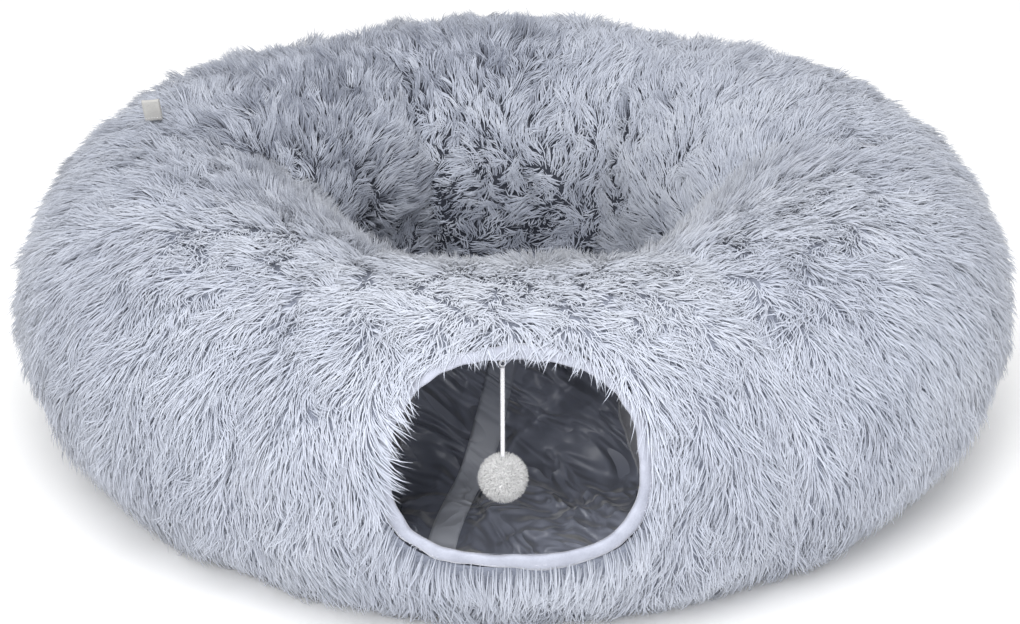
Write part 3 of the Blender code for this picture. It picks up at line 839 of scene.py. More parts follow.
def gather(curves, owner, pull):
    """Draw the strands of each tuft together towards their tips."""
    count = np.bincount(owner)
    for k, level in enumerate(STRAND_LEVELS[1:], 1):
        mean = np.stack([np.bincount(owner, curves[:, k, a]) / count for a in range(3)], -1)
        curves[:, k] += (mean[owner] - curves[:, k]) * (pull * level**1.3)[:, None]


def grow(roots, normals, flows, lengths, headings, rises):
    """Curves that leave the surface; heading and rise each go from a value at the root to one at the tip."""
    sideways = np.cross(normals, flows)
    curves = [roots]
    for low, high in zip(STRAND_LEVELS, STRAND_LEVELS[1:]):
        share = ((low + high) / 2) ** 0.8
        heading = (headings[0] + (headings[1] - headings[0]) * share)[:, None]
        rise = (rises[0] + (rises[1] - rises[0]) * share)[:, None]
        along = flows * np.cos(heading) + sideways * np.sin(heading)
        step = (lengths * (high - low))[:, None]
        curves.append(curves[-1] + step * (normals * np.sin(rise) + along * np.cos(rise)))
    return np.stack(curves, 1)


def strand_faces(levels):
    """A three-sided strand's corners face by face, where each face starts, and each corner's level."""
    corners, starts, uses = [2, 1, 0], [0], [0, 0, 0]
    for k in range(levels - 2):
        for a in range(3):
            b = (a + 1) % 3
            starts.append(len(corners))
            corners += [3 * k + a, 3 * k + b, 3 * k + 3 + b, 3 * k + 3 + a]
            uses += [k, k, k + 1, k + 1]
    last = levels - 2
    for a in range(3):
        starts.append(len(corners))
        corners += [3 * last + a, 3 * last + (a + 1) % 3, 3 * last + 3]
        uses += [last, last, last + 1]
    return np.array(corners), np.array(starts), uses


def strand_mesh(name, curves, radii, shade, rng, normals=None):
    """Three-sided tapered strands as one mesh, with shade along U and root to tip along V."""
    count, levels = curves.shape[:2]
    axis = unit(curves[:, 2] - curves[:, 0])
    side = unit(np.cross(axis, unit(rng.normal(size=axis.shape))))
    lift = np.cross(axis, side)
    angles = np.arange(3) * 2 * np.pi / 3
    ring = side[:, None] * np.cos(angles)[:, None] + lift[:, None] * np.sin(angles)[:, None]
    rings = curves[:, :-1, None] + ring[:, None] * radii[:, :, None, None]
    points = np.concatenate([rings.reshape(count, -1, 3), curves[:, -1:]], 1)
    per = points.shape[1]
    corners, starts, uses = strand_faces(levels)
    whose = np.arange(count)[:, None]
    mesh = bpy.data.meshes.new(name)
    mesh.vertices.add(count * per)
    mesh.vertices.foreach_set("co", points.astype(np.float32).ravel())
    mesh.loops.add(count * len(corners))
    mesh.loops.foreach_set("vertex_index", (corners + whose * per).astype(np.int32).ravel())
    mesh.polygons.add(count * len(starts))
    mesh.polygons.foreach_set("loop_start", (starts + whose * len(corners)).astype(np.int32).ravel())
    around = np.where(corners < per - 1, corners % 3 / 2, 0.5)
    u = UV_MARGIN + UV_SHADE_SPAN * shade[:, None] + UV_AROUND_SPAN * around
    v = UV_MARGIN + UV_ALONG_SPAN * np.array(STRAND_LEVELS)[uses] + 0 * u
    layer = mesh.uv_layers.new(name="OFBake")
    layer.data.foreach_set("uv", np.stack([u, v], -1).astype(np.float32).ravel())
    mesh.update(calc_edges=True)
    if normals is not None:
        own = np.concatenate([np.tile(ring, (1, levels - 1, 1)), axis[:, None]], 1)
        soft = unit(own * (1 - NORMAL_SHARE) + normals[:, None] * NORMAL_SHARE)
        mesh.normals_split_custom_set_from_vertices(soft.reshape(-1, 3).astype(np.float32))
    return mesh


# ---- Pile on the halves ----


class Pile:
    """Fine grid of the surface that strands grow from, for one half."""

    def __init__(self, dip):
        columns = PANELS_PER_HALF * COLUMNS_PER_PANEL
        self.azimuths = np.linspace(-HALF_END, HALF_END, columns + 1)
        angles = row_angles()
        self.rows = len(angles) + WALL_ROWS - 1 + CORNER_ROWS - 2
        self.points = blended_tube(self.azimuths, SKIN_INSET, PILE_BASE_INSET, dip)[:, : self.rows]
        along = np.gradient(self.points, axis=0)
        up = np.gradient(self.points, axis=1)
        self.flows = unit(-up)
        self.normals = unit(np.cross(along, up))
        self.angles = np.full(self.rows, np.pi)
        self.angles[: len(angles)] = angles
        self.areas = cell_areas(self.points)
        if self.normals[columns // 2, CREST_ROWS // 2 + FOOT_ROWS, 2] < 0:
            self.normals = -self.normals
        self.points = rim_raised(self.points)


def pile_bands(rows):
    """Row ranges of a panel's pieces: foot, flank, crest and well."""
    flank_end, crest_end = (FOOT_ROWS + int(CREST_ROWS * share) for share in BAND_SHARES)
    marks = (0, FOOT_ROWS - 1, flank_end, crest_end, rows - 1)
    return zip(("foot", "flank", "crest", "well"), marks, marks[1:])


def pile_seeds(pile, rng, panel, low, high, density):
    """Roots spread evenly over a band of a panel, but not in the entrance."""
    first = panel * COLUMNS_PER_PANEL
    areas = pile.areas[first : first + COLUMNS_PER_PANEL, low:high]
    count = int(areas.sum() * density)
    cell = scatter(rng, count, areas.ravel())
    i = first + cell // areas.shape[1]
    j = low + cell % areas.shape[1]
    across, along = rng.random(count), rng.random(count)
    roots = on_grid(pile.points, i, j, across, along)
    angle = pile.angles[j] + (pile.angles[np.minimum(j + 1, pile.rows - 1)] - pile.angles[j]) * along
    beyond = np.where(angle < RIM_RAISED_BELOW, beyond_entrance(roots, FUR_EDGE_ACROSS), 1.0)
    keep = beyond > 0
    i, j, across, along = i[keep], j[keep], across[keep], along[keep]
    return SimpleNamespace(
        roots=roots[keep],
        normals=unit(on_grid(pile.normals, i, j, across, along)),
        flows=unit(on_grid(pile.flows, i, j, across, along)),
        angle=angle[keep],
        beyond=beyond[keep],
    )


def over_entrance(place, angle):
    """1 where the pile lies short and flat on the crest above the front entrance, 0 elsewhere."""
    front = np.clip((-place[:, 1] - CALM_FROM) / CALM_OVER, 0, 1)
    return front * np.exp(-((place[:, 0] / CALM_HALF_WIDTH) ** 2)) * smooth((2.45 - angle) / 0.5)


def ruffle_share(place, angle):
    """How ruffled the pile is: little outside at the front, most in the well and at the back left."""
    inward = np.clip((angle - 1.25) / 1.0, 0, 1)
    behind = np.clip((place[:, 1] + 0.25) / 0.5, 0, 1)
    left = smooth((0.14 - place[:, 0]) / 0.30)
    share = np.clip(0.12 + inward * (0.38 + 0.32 * left) + behind * (0.12 + 0.22 * left), 0, 1)
    return share * (1 - 0.85 * over_entrance(place, angle))


def strand_places(seeds, rear, seed):
    """The tufts of each strand and what its place asks for, as shares from 0 to 1."""
    place = on_half(seeds.roots, rear)
    ruffle = ruffle_share(place, seeds.angle)
    crest = smooth(1 - np.abs(seeds.angle - 1.45) / 0.85)
    near = smooth(1 - seeds.beyond / FUR_BESIDE_ENTRANCE)
    height = seeds.angle - ENTRANCE_TILT
    left = seeds.roots[:, 0] < 0
    covering = near * smooth((height - np.where(left, -0.35, 0.02)) / 0.30)
    uneven = 0.95 + 0.45 * WAVES["fine"](place) + 0.35 * smooth(-place[:, 0] / 0.06)
    return SimpleNamespace(
        place=place, angle=seeds.angle, height=height, left=left, ruffle=ruffle, crest=crest, near=near,
        messy=np.maximum(ruffle, 0.75 * crest),
        calm=over_entrance(place, seeds.angle) * smooth((seeds.angle - 0.9) / 0.5),
        covering=covering * smooth(uneven),
        small=tufts(seeds.roots, SMALL_TUFT, seed + 1),
        large=tufts(seeds.roots, LARGE_TUFT, seed + 2),
    )


def strand_headings(at, seed, rng):
    """How far each strand turns aside from the pile's flow, at its root and at its tip."""
    turn = 0.65 * per_tuft(at.large, seed + 3) + 0.55 * per_tuft(at.small, seed + 4)
    broad, fine = WAVES["broad"](at.place), WAVES["fine"](at.place)
    first = (0.20 + 0.35 * at.ruffle) * broad + (0.20 + 0.35 * at.messy) * fine
    first = first + (0.18 + 0.60 * at.messy) * turn + rng.normal(0, 0.22, len(turn))
    beside = at.near * smooth(1.3 - np.abs(at.height - 0.10) / 0.45)
    first = first * (1 - 0.5 * at.near) - beside * np.where(at.left, -1.0, 0.45)
    curl = 0.7 * per_tuft(at.large, seed + 5) + 0.5 * per_tuft(at.small, seed + 6)
    return first, first + (0.25 + 0.50 * at.messy) * curl + rng.normal(0, 0.30, len(turn))


def strand_rises(at, seed, rng):
    """How steeply each strand stands off the backing, at its root and at its tip."""
    count = len(at.place)
    lift = 0.10 * WAVES["lift"](at.place) * (0.5 + at.ruffle)
    lift = (lift + (0.05 + 0.20 * at.ruffle) * per_tuft(at.large, seed + 7)) * (1 - 0.8 * at.calm)
    root = 0.72 + 0.42 * at.ruffle - 0.10 * at.crest * (1 - at.ruffle) + lift + rng.normal(0, 0.12, count)
    tip = -0.10 + 0.72 * at.ruffle + 1.3 * lift + rng.normal(0, 0.20, count)
    below = at.near * smooth((-at.height - 0.20) / 0.25)
    root = root + (0.85 + 0.95 * below - root) * at.near
    tip = tip + (0.45 - tip) * below
    return root + (1.05 - root) * at.covering, tip + (-0.60 - tip) * at.covering


def strand_lengths(at, rng):
    """Shorter where the pile is ruffled or lies calm on the crest, longer where it covers the tape."""
    lengths = rng.uniform(*STRAND_LENGTHS, len(at.place)) * (1 + 0.10 * WAVES["length"](at.place))
    lengths = lengths * (1 - 0.30 * at.calm * (1 - at.near))
    return lengths * (1 - 0.20 * at.ruffle) * (1 + 0.30 * at.covering)


def strand_shades(at, seed, rng):
    """0 for the darkest strands, 1 for the lightest: painted shade where the pile is ruffled and on the back
    crest at the left, painted light on the calm crest above the entrance, on the right inside the ring and
    deep in the well, with random tone by tuft and by strand.
    """
    x, y = at.place[:, 0], at.place[:, 1]
    mottle = per_tuft(at.large, seed + 8) + per_tuft(at.small, seed + 9)
    # painted shade: ruffled pile is darker; the tufts' own tone varies at random
    shade = 0.62 - 0.32 * at.ruffle + (0.04 + 0.09 * at.ruffle) * mottle
    # painted light on the calm crest above the entrance; random tone by strand and over broad waves
    shade = shade + 0.30 * at.calm + rng.normal(0, 0.07, len(x)) + 0.05 * WAVES["broad"](at.place + 3.0)
    # painted light on the right, inside the ring
    shade = shade + 0.12 * smooth((x + 0.02) / 0.2) * smooth((at.angle - 1.25) / 0.8)
    # painted shade on the back crest at the left; painted light deep in the well
    painted_back_crest_shade = smooth(y / 0.2) * smooth(1.2 - np.abs(at.angle - 1.6) / 0.6)
    shade = shade + 0.18 * smooth((at.angle - 2.1) / 0.7) - 0.16 * painted_back_crest_shade * smooth((0.1 - x) / 0.1)
    return np.clip(shade, 0, 1)


def pile_piece(pile, name, panel, rows, density, rear, material, body, seed):
    """Pile on one band of a panel; the strands at a half's ends lean over the zip's groove."""
    rng = np.random.default_rng(seed)
    seeds = pile_seeds(pile, rng, panel, *rows, density)
    at = strand_places(seeds, rear, seed)
    headings = strand_headings(at, seed, rng)
    rises = strand_rises(at, seed, rng)
    curves = grow(seeds.roots, seeds.normals, seeds.flows, strand_lengths(at, rng), headings, rises)
    gather(curves, at.large, 0.06 + 0.22 * at.ruffle)
    gather(curves, at.small, 0.20 + 0.32 * at.ruffle)
    over_groove = GROOVE_COVER * smooth(1 + (HALF_GROOVE + seeds.roots[:, 1]) / GROOVE_COVER_FROM)
    curves[..., 1] += over_groove[:, None] * np.array(STRAND_LEVELS)
    curves[:, 1:, 2] = np.maximum(curves[:, 1:, 2], STRAND_FLOOR)
    shade = strand_shades(at, seed, rng)
    thick = rng.uniform(*THICKNESS_SPREAD, len(shade))[:, None] * np.array(STRAND_RADII)[None, :]
    mesh = strand_mesh(name, on_half(curves, rear), thick, shade, rng, on_half(seeds.normals, rear))
    return add_piece(name, mesh, material, body)


def add_pile(material):
    seed = 100
    for half, body, names, rear in HALVES:
        pile = Pile(0.0 if rear else CREST_DIP)
        for panel, panel_name in enumerate(names):
            for band, low, high in pile_bands(pile.rows):
                seed += 20
                name, density = f"pile_{half}_{panel_name}_{band}", STRANDS_PER_M2[band]
                pile_piece(pile, name, panel, (low, high), density, rear, material, body, seed)


# ---- Cover and lining under the pile ----


def add_cover(material):
    for half, body, names, rear in HALVES:
        for panel, panel_name in enumerate(names):
            azimuths = panel_azimuths(panel)
            outer = rim_raised(blended_tube(azimuths, SKIN_INSET, 0.0, 0.0 if rear else CREST_DIP))
            points, faces = shell(outer, tube_points(azimuths, COVER_THICKNESS))
            name = f"backing_{half}_{panel_name}"
            item = add_mesh(name, on_half(points, rear), faces, material, body)
            outward_faces(item.data)
            if panel_name == "entrance":
                cut_opening(item, rear)
            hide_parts(f"cover_{half}_{panel_name}")


def tube_places(azimuth, rho, inset):
    """Points for pairs of an azimuth and a place on the section, counted in its rows."""
    outward, height = tube_section(azimuth, inset)
    low = np.floor(rho).astype(int)
    share = rho - low
    pick = np.arange(len(rho))
    high = (low + 1) % outward.shape[1]
    low = low % outward.shape[1]
    outward = outward[pick, low] * (1 - share) + outward[pick, high] * share
    height = height[pick, low] * (1 - share) + height[pick, high] * share
    return ring_points(azimuth, outward, height)


def lining_rows(azimuth, count):
    """Places on the section, counted in its rows, spaced evenly along its length; and that length."""
    loop = tube_points([azimuth], LINING_INSET)[0]
    steps = np.linalg.norm(np.roll(loop, -1, 0) - loop, axis=1)
    length = np.concatenate([[0], np.cumsum(steps)])
    marks = np.linspace(0, length[-1], count, endpoint=False)
    return np.interp(marks, length, np.arange(len(length))), length[-1]


def fold_depth(seed, across, along, around):
    """Long creases: each is soft on one side and steep on the other, and fades out at its ends."""
    rng = np.random.default_rng(seed)
    depth = np.zeros(np.shape(across))
    for k in range(FOLDS):
        broad = k < BROAD_FOLDS
        middle = rng.uniform(-FOLD_SPREAD, FOLD_SPREAD), rng.uniform(0, around)
        leaning = rng.random() < FOLD_LEANING_SHARE
        lean = rng.normal(*FOLD_LEAN) if leaning else rng.uniform(0, np.pi)
        length = rng.uniform(*FOLD_LENGTHS[broad])
        width = rng.uniform(*FOLD_WIDTHS[broad])
        high = width * rng.uniform(*FOLD_HEIGHT_SHARES)
        bow = rng.normal(0, 0.22)
        x = across - middle[0]
        y = (along - middle[1] + around / 2) % around - around / 2
        run = (x * math.cos(lean) + y * math.sin(lean)) / (length / 2)
        off = y * math.cos(lean) - x * math.sin(lean) + bow * length / 2 * run**2
        side = np.where(off > 0, FOLD_STEEP_SIDE, 1.0) * width
        depth += high * np.exp(-((off / side) ** 2)) * np.clip(1 - run**2, 0, 1) ** 1.5
    return FOLD_LIMIT * np.tanh(depth / FOLD_LIMIT)


def strip_azimuth(rho):
    return np.polyval(np.polyfit(STRIP_ROWS, STRIP_AZIMUTHS, 3), rho)


def lining_places(azimuth, rho, along, around, seed, strip):
    """The lining with its creases, and the direction inward; flat beside hoops, entrance and strip."""
    low = tube_places(azimuth, rho, LINING_INSET)
    inward = unit(tube_places(azimuth, rho, LINING_INSET + INWARD_STEP) - low)
    radius = np.hypot(low[:, 0], low[:, 1] + HALF_GROOVE)
    seam = np.abs(azimuth - np.round((azimuth + HALF_END) / PANEL_ANGLE) * PANEL_ANGLE + HALF_END)
    angle = np.interp(rho, np.arange(len(row_angles())), row_angles(), right=np.pi)
    measure = opening_measure(azimuth, angle, BINDING_WIDTH)
    slack = smooth((seam * radius - FLAT_BESIDE_HOOP) / SLACK_FROM_HOOP) * smooth((measure - 1.08) / 0.4)
    if strip:
        beside = np.abs(azimuth - strip_azimuth(rho)) * radius - STRIP_HALF_WIDTH
        slack = slack * np.where(rho > STRIP_ROWS[0] - 3, smooth(beside / FLAT_BESIDE_STRIP), 1)
    middle = np.round(azimuth / PANEL_ANGLE) * PANEL_ANGLE
    depth = fold_depth(seed, (azimuth - middle) * radius, along, around)
    depth = depth + SAG_DEPTH * np.clip(1.2 + waves(seed + 1, SAG_WAVELENGTH)(low), 0, None)
    depth = np.clip(depth + CRINKLE_DEPTH * waves(seed + 2, CRINKLE_WAVELENGTH)(low), 0, None)
    return low + inward * (slack * depth)[:, None], inward


def lining_grid(panel, columns, rows, seed, entrance, strip):
    """Both faces of a panel's lining and which of its cells are kept."""
    azimuths = panel_azimuths(panel, columns)
    rho, around = lining_rows(azimuths.mean(), rows)
    azimuth = np.repeat(azimuths, rows)
    place = np.tile(rho, columns + 1)
    along = np.tile(np.linspace(0, around, rows, endpoint=False), columns + 1)
    keep = np.ones((columns, rows), bool)
    if entrance:
        angles = row_angles()
        angle = np.interp(place, np.arange(len(angles)), angles, right=np.pi)
        below = smooth((ENTRANCE_TILT - angle) * WALL_RADIUS / ENTRANCE_HALF_HEIGHT)
        hem = LINING_HEM_ACROSS + HEM_FOOT_ACROSS * below
        measure = opening_measure(azimuth, angle, hem).reshape(-1, rows)
        above = np.roll(measure, -1, 1)
        keep = (measure[:-1] + measure[1:] + above[:-1] + above[1:]) / 4 > 1
        used = np.zeros(measure.shape, int)
        for side in (slice(None, -1), slice(1, None)):
            used[side] += keep
            used[side] += np.roll(keep, 1, 1)
        rim = ((used > 0) & (used < 4) & (measure < RIM_MEASURE_LIMIT)).ravel()
        scale = 1 / measure.ravel()[rim]
        azimuth[rim] *= scale
        angle[rim] = ENTRANCE_TILT + (angle[rim] - ENTRANCE_TILT) * scale
        place[rim] = np.interp(angle[rim], angles, np.arange(len(angles)))
    outer, inward = lining_places(azimuth, place, along, around, seed, strip)
    shape = (columns + 1, rows, 3)
    return outer.reshape(shape), (outer + inward * SATIN_THICKNESS).reshape(shape), keep


def two_faced(outer, inner, keep):
    """Closed cloth: the kept cells on both faces and a narrow wall along every open edge."""
    columns, rows = outer.shape[:2]
    total = columns * rows
    faces, edges = [], {}
    for i, j in np.argwhere(keep).tolist():
        k = (j + 1) % rows
        ring = (i * rows + j, (i + 1) * rows + j, (i + 1) * rows + k, i * rows + k)
        faces += [ring, tuple(total + c for c in reversed(ring))]
        for a, b in zip(ring, ring[1:] + ring[:1]):
            if (b, a) in edges:
                del edges[b, a]
            else:
                edges[a, b] = True
    faces += [(b, a, total + a, total + b) for a, b in edges]
    points = np.concatenate([outer.reshape(-1, 3), inner.reshape(-1, 3)])
    used = np.zeros(len(points), bool)
    used[np.unique([c for face in faces for c in face])] = True
    number = np.cumsum(used) - 1
    return points[used], [tuple(number[c] for c in face) for face in faces]


def add_lining(material):
    seed = 300
    for half, body, names, rear in HALVES:
        for panel, panel_name in enumerate(names):
            seed += 10
            entrance = panel_name == "entrance"
            strip = entrance and not rear
            points, faces = two_faced(*lining_grid(panel, *LINING_GRID[panel_name], seed, entrance, strip))
            name = f"satin_{half}_{panel_name}"
            item = add_mesh(name, on_half(points, rear), faces, material, body)
            outward_faces(item.data)
            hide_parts(f"lining_{half}_{panel_name}")


def add_seam_strip(material):
    """Sheer strip sewn over the slanting seam, from the tunnel's floor up its inner wall."""
    rho = np.repeat(np.linspace(STRIP_ROWS[0], STRIP_ROWS[-1], STRIP_STEPS), STRIP_COLUMNS)
    sideways = np.tile(np.linspace(-1, 1, STRIP_COLUMNS), STRIP_STEPS)
    middle = strip_azimuth(rho)
    low = tube_places(middle, rho, LINING_INSET)
    radius = np.hypot(low[:, 0], low[:, 1] + HALF_GROOVE)
    azimuth = middle + sideways * STRIP_HALF_WIDTH / radius
    lift = LINING_INSET + SATIN_THICKNESS + STRIP_LIFT
    lift = lift + STRIP_WAVE * (1 + waves(52, 0.035)(low)) * (1 - sideways**2)
    near, far = (
        tube_places(azimuth, rho, lift[:, None] + extra).reshape(STRIP_STEPS, STRIP_COLUMNS, 3)
        for extra in (0.0, STRIP_THICKNESS)
    )
    cloth = np.concatenate([near, far[:, ::-1]], 1)
    add_tube("lining_seam_strip", cloth, material, "front_half", "lining_front_entrance")


# ---- Swept shapes ----


class Shape:
    """Points and faces gathered into one mesh."""

    def __init__(self):
        self.points, self.faces, self.count = [], [], 0

    def tube(self, points, ring=False):
        """Loops of points joined one to the next; a tube that is no ring has a cap at both ends."""
        columns, rows = points.shape[:2]
        self.faces += lattice_faces(columns, rows, ring, True, self.count)
        if not ring:
            last = self.count + (columns - 1) * rows
            self.faces += [tuple(range(self.count, self.count + rows)), tuple(range(last, last + rows))]
        self.points.append(points.reshape(-1, 3))
        self.count += columns * rows

    def piece(self, name, material, body, rear=False):
        points = on_half(np.concatenate(self.points), rear)
        item = add_mesh(name, points, self.faces, material, body)
        outward_faces(item.data)
        return item


def add_tube(name, points, material, body, node, ring=False, rear=False):
    """One tube that is a piece of its own and stands for a node of the frame."""
    shape = Shape()
    shape.tube(points, ring)
    item = shape.piece(name, material, body, rear)
    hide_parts(node)
    return item


def sweep(path, radius, sides, closed=False, aim=(0, 0, 1)):
    """Rings round a path; the radius is one number or one for each ring and side."""
    path = np.asarray(path, float)
    forward = np.roll(path, -1, 0) - np.roll(path, 1, 0) if closed else np.gradient(path, axis=0)
    forward = unit(forward)
    side = unit(np.cross(forward, aim))
    lift = np.cross(side, forward)
    turn = circle(sides)[:, None]
    around = side[:, None] * np.cos(turn) + lift[:, None] * np.sin(turn)
    reach = np.broadcast_to(radius, (len(path), sides))[..., None]
    return path[:, None] + around * reach


def evenly(loop, count):
    """A closed loop of points, spaced evenly along its length."""
    closed = np.concatenate([loop, loop[:1]])
    length = np.concatenate([[0], np.cumsum(np.linalg.norm(np.diff(closed, axis=0), axis=1))])
    marks = np.linspace(0, length[-1], count, endpoint=False)
    return np.stack([np.interp(marks, length, closed[:, a]) for a in range(3)], -1)


def add_stitches(shape, starts, ends, lifts, radius):
    """Short threads that rise out of the cloth, run along it and go back in."""
    share = np.linspace(0, 1, STITCH_STEPS)
    bow = np.sin(np.pi * share)[:, None]
    for start, end, lift in zip(starts, ends, lifts):
        path = start + (end - start) * share[:, None] + lift * (bow * 1.6 - 0.4) * radius
        aim = np.cross(end - start, lift)
        shape.tube(sweep(path, radius * (0.55 + 0.45 * bow), STITCH_SIDES, aim=aim))


# ---- Toy ----


def add_toy(cord_material, pile_look, core_look):
    top = np.array(TOY_PIVOT) - np.array([0, 0, CORD_TOP_DROP])
    path, fine = (
        top - np.linspace(0, CORD_LENGTH, count)[:, None] * np.array([0, 0, 1])
        for count in (CORD_POINTS, BRAID_STEPS)
    )
    turn = circle(BRAID_SIDES)[None, :]
    along = np.linspace(0, CORD_LENGTH, BRAID_STEPS)[:, None] * 2 * np.pi / BRAID_LAY
    braid = np.cos(4 * turn + along) * np.cos(4 * turn - along)
    radius = CORD_RADIUS * (0.965 + 0.05 * braid)
    braided = sweep(fine, radius, BRAID_SIDES, aim=(0, 1, 0))
    cord = add_tube("elastic_cord", braided, cord_material, "toy", "toy_cord")
    ball = add_pom_pom(pile_look, core_look)
    add_tack(cord_material)


def pom_pom_curves(rng, centre, core):
    """Yarns that stand evenly on a ball's core and lean a little, each in its own way."""
    k = np.arange(POM_POM_YARNS) + 0.5
    height = 1 - 2 * k / POM_POM_YARNS
    turn = k * math.pi * (3 - math.sqrt(5))
    reach = np.sqrt(1 - height**2)
    out = np.stack([reach * np.cos(turn), reach * np.sin(turn), height], -1)
    out = unit(out + rng.normal(0, 0.03, out.shape))
    lean = np.stack([waves(seed, 0.013)(out * POM_POM_RADIUS) for seed in (71, 72, 73)], -1)
    lean = unit(out + 0.12 * lean + rng.normal(0, 0.34, out.shape))
    uneven = 1.22 + 0.10 * lean[:, 0] + rng.uniform(-0.34, 0.52, len(out))
    length = ((POM_POM_RADIUS - core) * uneven)[:, None, None]
    levels = np.array(STRAND_LEVELS)[:, None]
    bend = unit(out * 0.6 + lean * 0.4)
    path = bend[:, None] * levels + (lean - bend)[:, None] * levels**2
    return centre + core * out[:, None] + length * path


def pom_pom_core_mesh(centre, core):
    bm = bmesh.new()
    bmesh.ops.create_icosphere(bm, subdivisions=4, radius=core * 1.04)
    rough = waves(74, 0.006)
    for vertex in bm.verts:
        vertex.co *= 1 + 0.02 * float(rough(np.array(vertex.co)[None])[0])
        vertex.co += Vector(centre)
    mesh = bpy.data.meshes.new("pom_pom_core")
    bm.to_mesh(mesh)
    bm.free()
    return mesh


def add_pom_pom(pile_look, core_look):
    """Round ball of short cut yarn over a tight core."""
    centre = np.array(TOY_PIVOT) - np.array([0, 0, POM_POM_DROP])
    core = POM_POM_CORE_SHARE * POM_POM_RADIUS
    rng = np.random.default_rng(70)
    curves = pom_pom_curves(rng, centre, core)
    radii = rng.uniform(0.85, 1.2, POM_POM_YARNS)[:, None] * np.array(POM_POM_YARN_RADII)
    shade = np.clip(rng.normal(0.6, 0.28, POM_POM_YARNS), 0, 1)
    mesh = strand_mesh("pom_pom_yarn", curves, radii, shade, rng)
    yarn = add_piece("pom_pom_yarn", mesh, pile_look, "toy")
    middle = add_piece("pom_pom_core", pom_pom_core_mesh(centre, core), core_look, "toy")
    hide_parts("toy_pom_pom")
    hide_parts("toy_pom_pom")
    return [yarn, middle]


def add_tack(material):
    """Bar tack: threads wrapped side by side round a few long ones."""
    centre = np.array(TOY_PIVOT) + np.array([0, 0, TACK_LIFT])
    half_x, half_y, half_z = (size / 2 for size in TACK_SIZE)
    radius = half_x / TACK_TURNS
    turn = circle(TACK_TURN_STEPS)
    loop_y = (half_y - radius) * signed_power(np.cos(turn), 3.0)
    loop_z = (half_z - radius) * signed_power(np.sin(turn), 3.0)
    shape = Shape()
    for k in range(TACK_TURNS):
        x = -half_x + radius * (2 * k + 1) + 0 * turn
        loop = centre + np.stack([x + 0.15 * radius * np.sin(turn + k), loop_y, loop_z], -1)
        shape.tube(sweep(loop, radius, THREAD_SIDES, closed=True, aim=(1, 0, 0)), ring=True)
    for k in range(3):
        across = (k - 1) * half_y * 0.55
        line = centre + np.linspace(-half_x, half_x, 6)[:, None] * np.array([1, 0, 0])
        line = line + np.array([0, across, 0])
        shape.tube(sweep(line, half_z - radius, THREAD_SIDES))
    tack = shape.piece("tack_stitches", material, "front_half")
    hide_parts("toy_tack")


# ---- Entrance binding ----


def folded_tape(across, depth, thickness):
    """Profile of a strip of cloth along a line of places, closed by its other face on the outer side."""
    line = np.stack([across, depth], -1)
    run = unit(np.gradient(line, axis=0))
    other = line + np.stack([-run[:, 1], run[:, 0]], -1) * thickness
    return np.concatenate([line, other[::-1]]).T


def binding_ring(profile, ripple):
    """A profile carried round the entrance, wavering as a sewn tape does."""
    turns = circle(BINDING_COLUMNS)[:, None]
    across, depth = profile[0][None, :], profile[1][None, :]
    lean = np.exp(-(((depth - BINDING_RECESS) / BINDING_WAVER_REACH) ** 2))
    wide = across + BINDING_WAVER * ripple[:, :1] * (across / BINDING_WIDTH) * lean
    wide = wide + 0.5 * BINDING_WAVER * ripple[:, 1:] * lean
    deep = depth + 0.6 * BINDING_WAVER * ripple[:, 1:] * lean
    return entrance_points(turns + 0 * wide, wide, deep)


def facing_grid():
    """Satin turned in from behind the tape and laid over the cut edge of the lining."""
    turns = circle(BINDING_COLUMNS)[:, None]
    share = np.linspace(0, 1, FACING_STEPS)[None, :, None]
    faces = []
    for outward in (0.0, SATIN_THICKNESS):
        level = LINING_INSET + SATIN_THICKNESS + FACING_LIFT + SATIN_THICKNESS - outward
        start = entrance_points(turns, FACING_START[0] + outward + 0 * turns, FACING_START[1] + 0 * turns)
        corner = entrance_points(turns, FACING_CORNER_ACROSS + 0 * turns, level + 0 * turns)
        reach = FACING_END_ACROSS + HEM_FOOT_ACROSS * smooth(-np.sin(turns))
        end = entrance_wall(turns, reach, level)
        faces.append(start * (1 - share) ** 2 + corner * 2 * share * (1 - share) + end * share**2)
    return np.concatenate([faces[0], faces[1][:, ::-1]], 1)


def tape_profile():
    """Section of the bias tape: flat over the pile's edge, rolled over the wire and tucked in behind."""
    roll = np.linspace(0, HALF_END, 7)
    flat = BINDING_WIDTH * np.array(TAPE_FLAT_SHARES)
    across = np.concatenate([flat, BINDING_ROLL * (1 - np.sin(roll)), TAPE_TUCK_ACROSS])
    depth = np.concatenate([TAPE_FLAT_DEPTHS, BINDING_ROLL * (1 - np.cos(roll)), TAPE_TUCK_DEPTHS])
    return folded_tape(across, depth + BINDING_RECESS, BINDING_THICKNESS)


def binding_seam():
    """Both ends of each stitch near the tape's outer edge."""
    marks = circle(BINDING_STITCHES)
    half = (marks[1] - marks[0]) * 0.32
    across = np.full(BINDING_STITCHES, BINDING_WIDTH - STITCHES_FROM_EDGE)
    depth = np.full(BINDING_STITCHES, BINDING_RECESS - 0.0001)
    return entrance_points(marks - half, across, depth), entrance_points(marks + half, across, depth)


def add_bindings(tape, satin, thread):
    """Bias tape rolled over the entrance's edge and stitched on, and a satin facing behind it."""
    turns = circle(BINDING_COLUMNS)
    place = entrance_points(turns, 0.0 * turns, 0.0 * turns)
    ripple = np.stack([waves(41, 0.06)(place), waves(42, 0.017)(place)], -1)
    starts, ends = binding_seam()
    for half, body, _, rear in HALVES:
        for name, grid, material, slot in (
            (f"binding_{half}", binding_ring(tape_profile(), ripple), tape, "binding_tape"),
            (f"binding_facing_{half}", facing_grid(), satin, "lining_satin"),
        ):
            add_tube(name, grid, material, body, f"entrance_binding_{half}", True, rear)
        shape = Shape()
        add_stitches(shape, starts, ends, np.broadcast_to(ENTRANCE_AXIS, starts.shape), BINDING_THREAD)
        shape.piece(f"binding_stitches_{half}", thread, body, rear)


# ---- Hoop channels ----


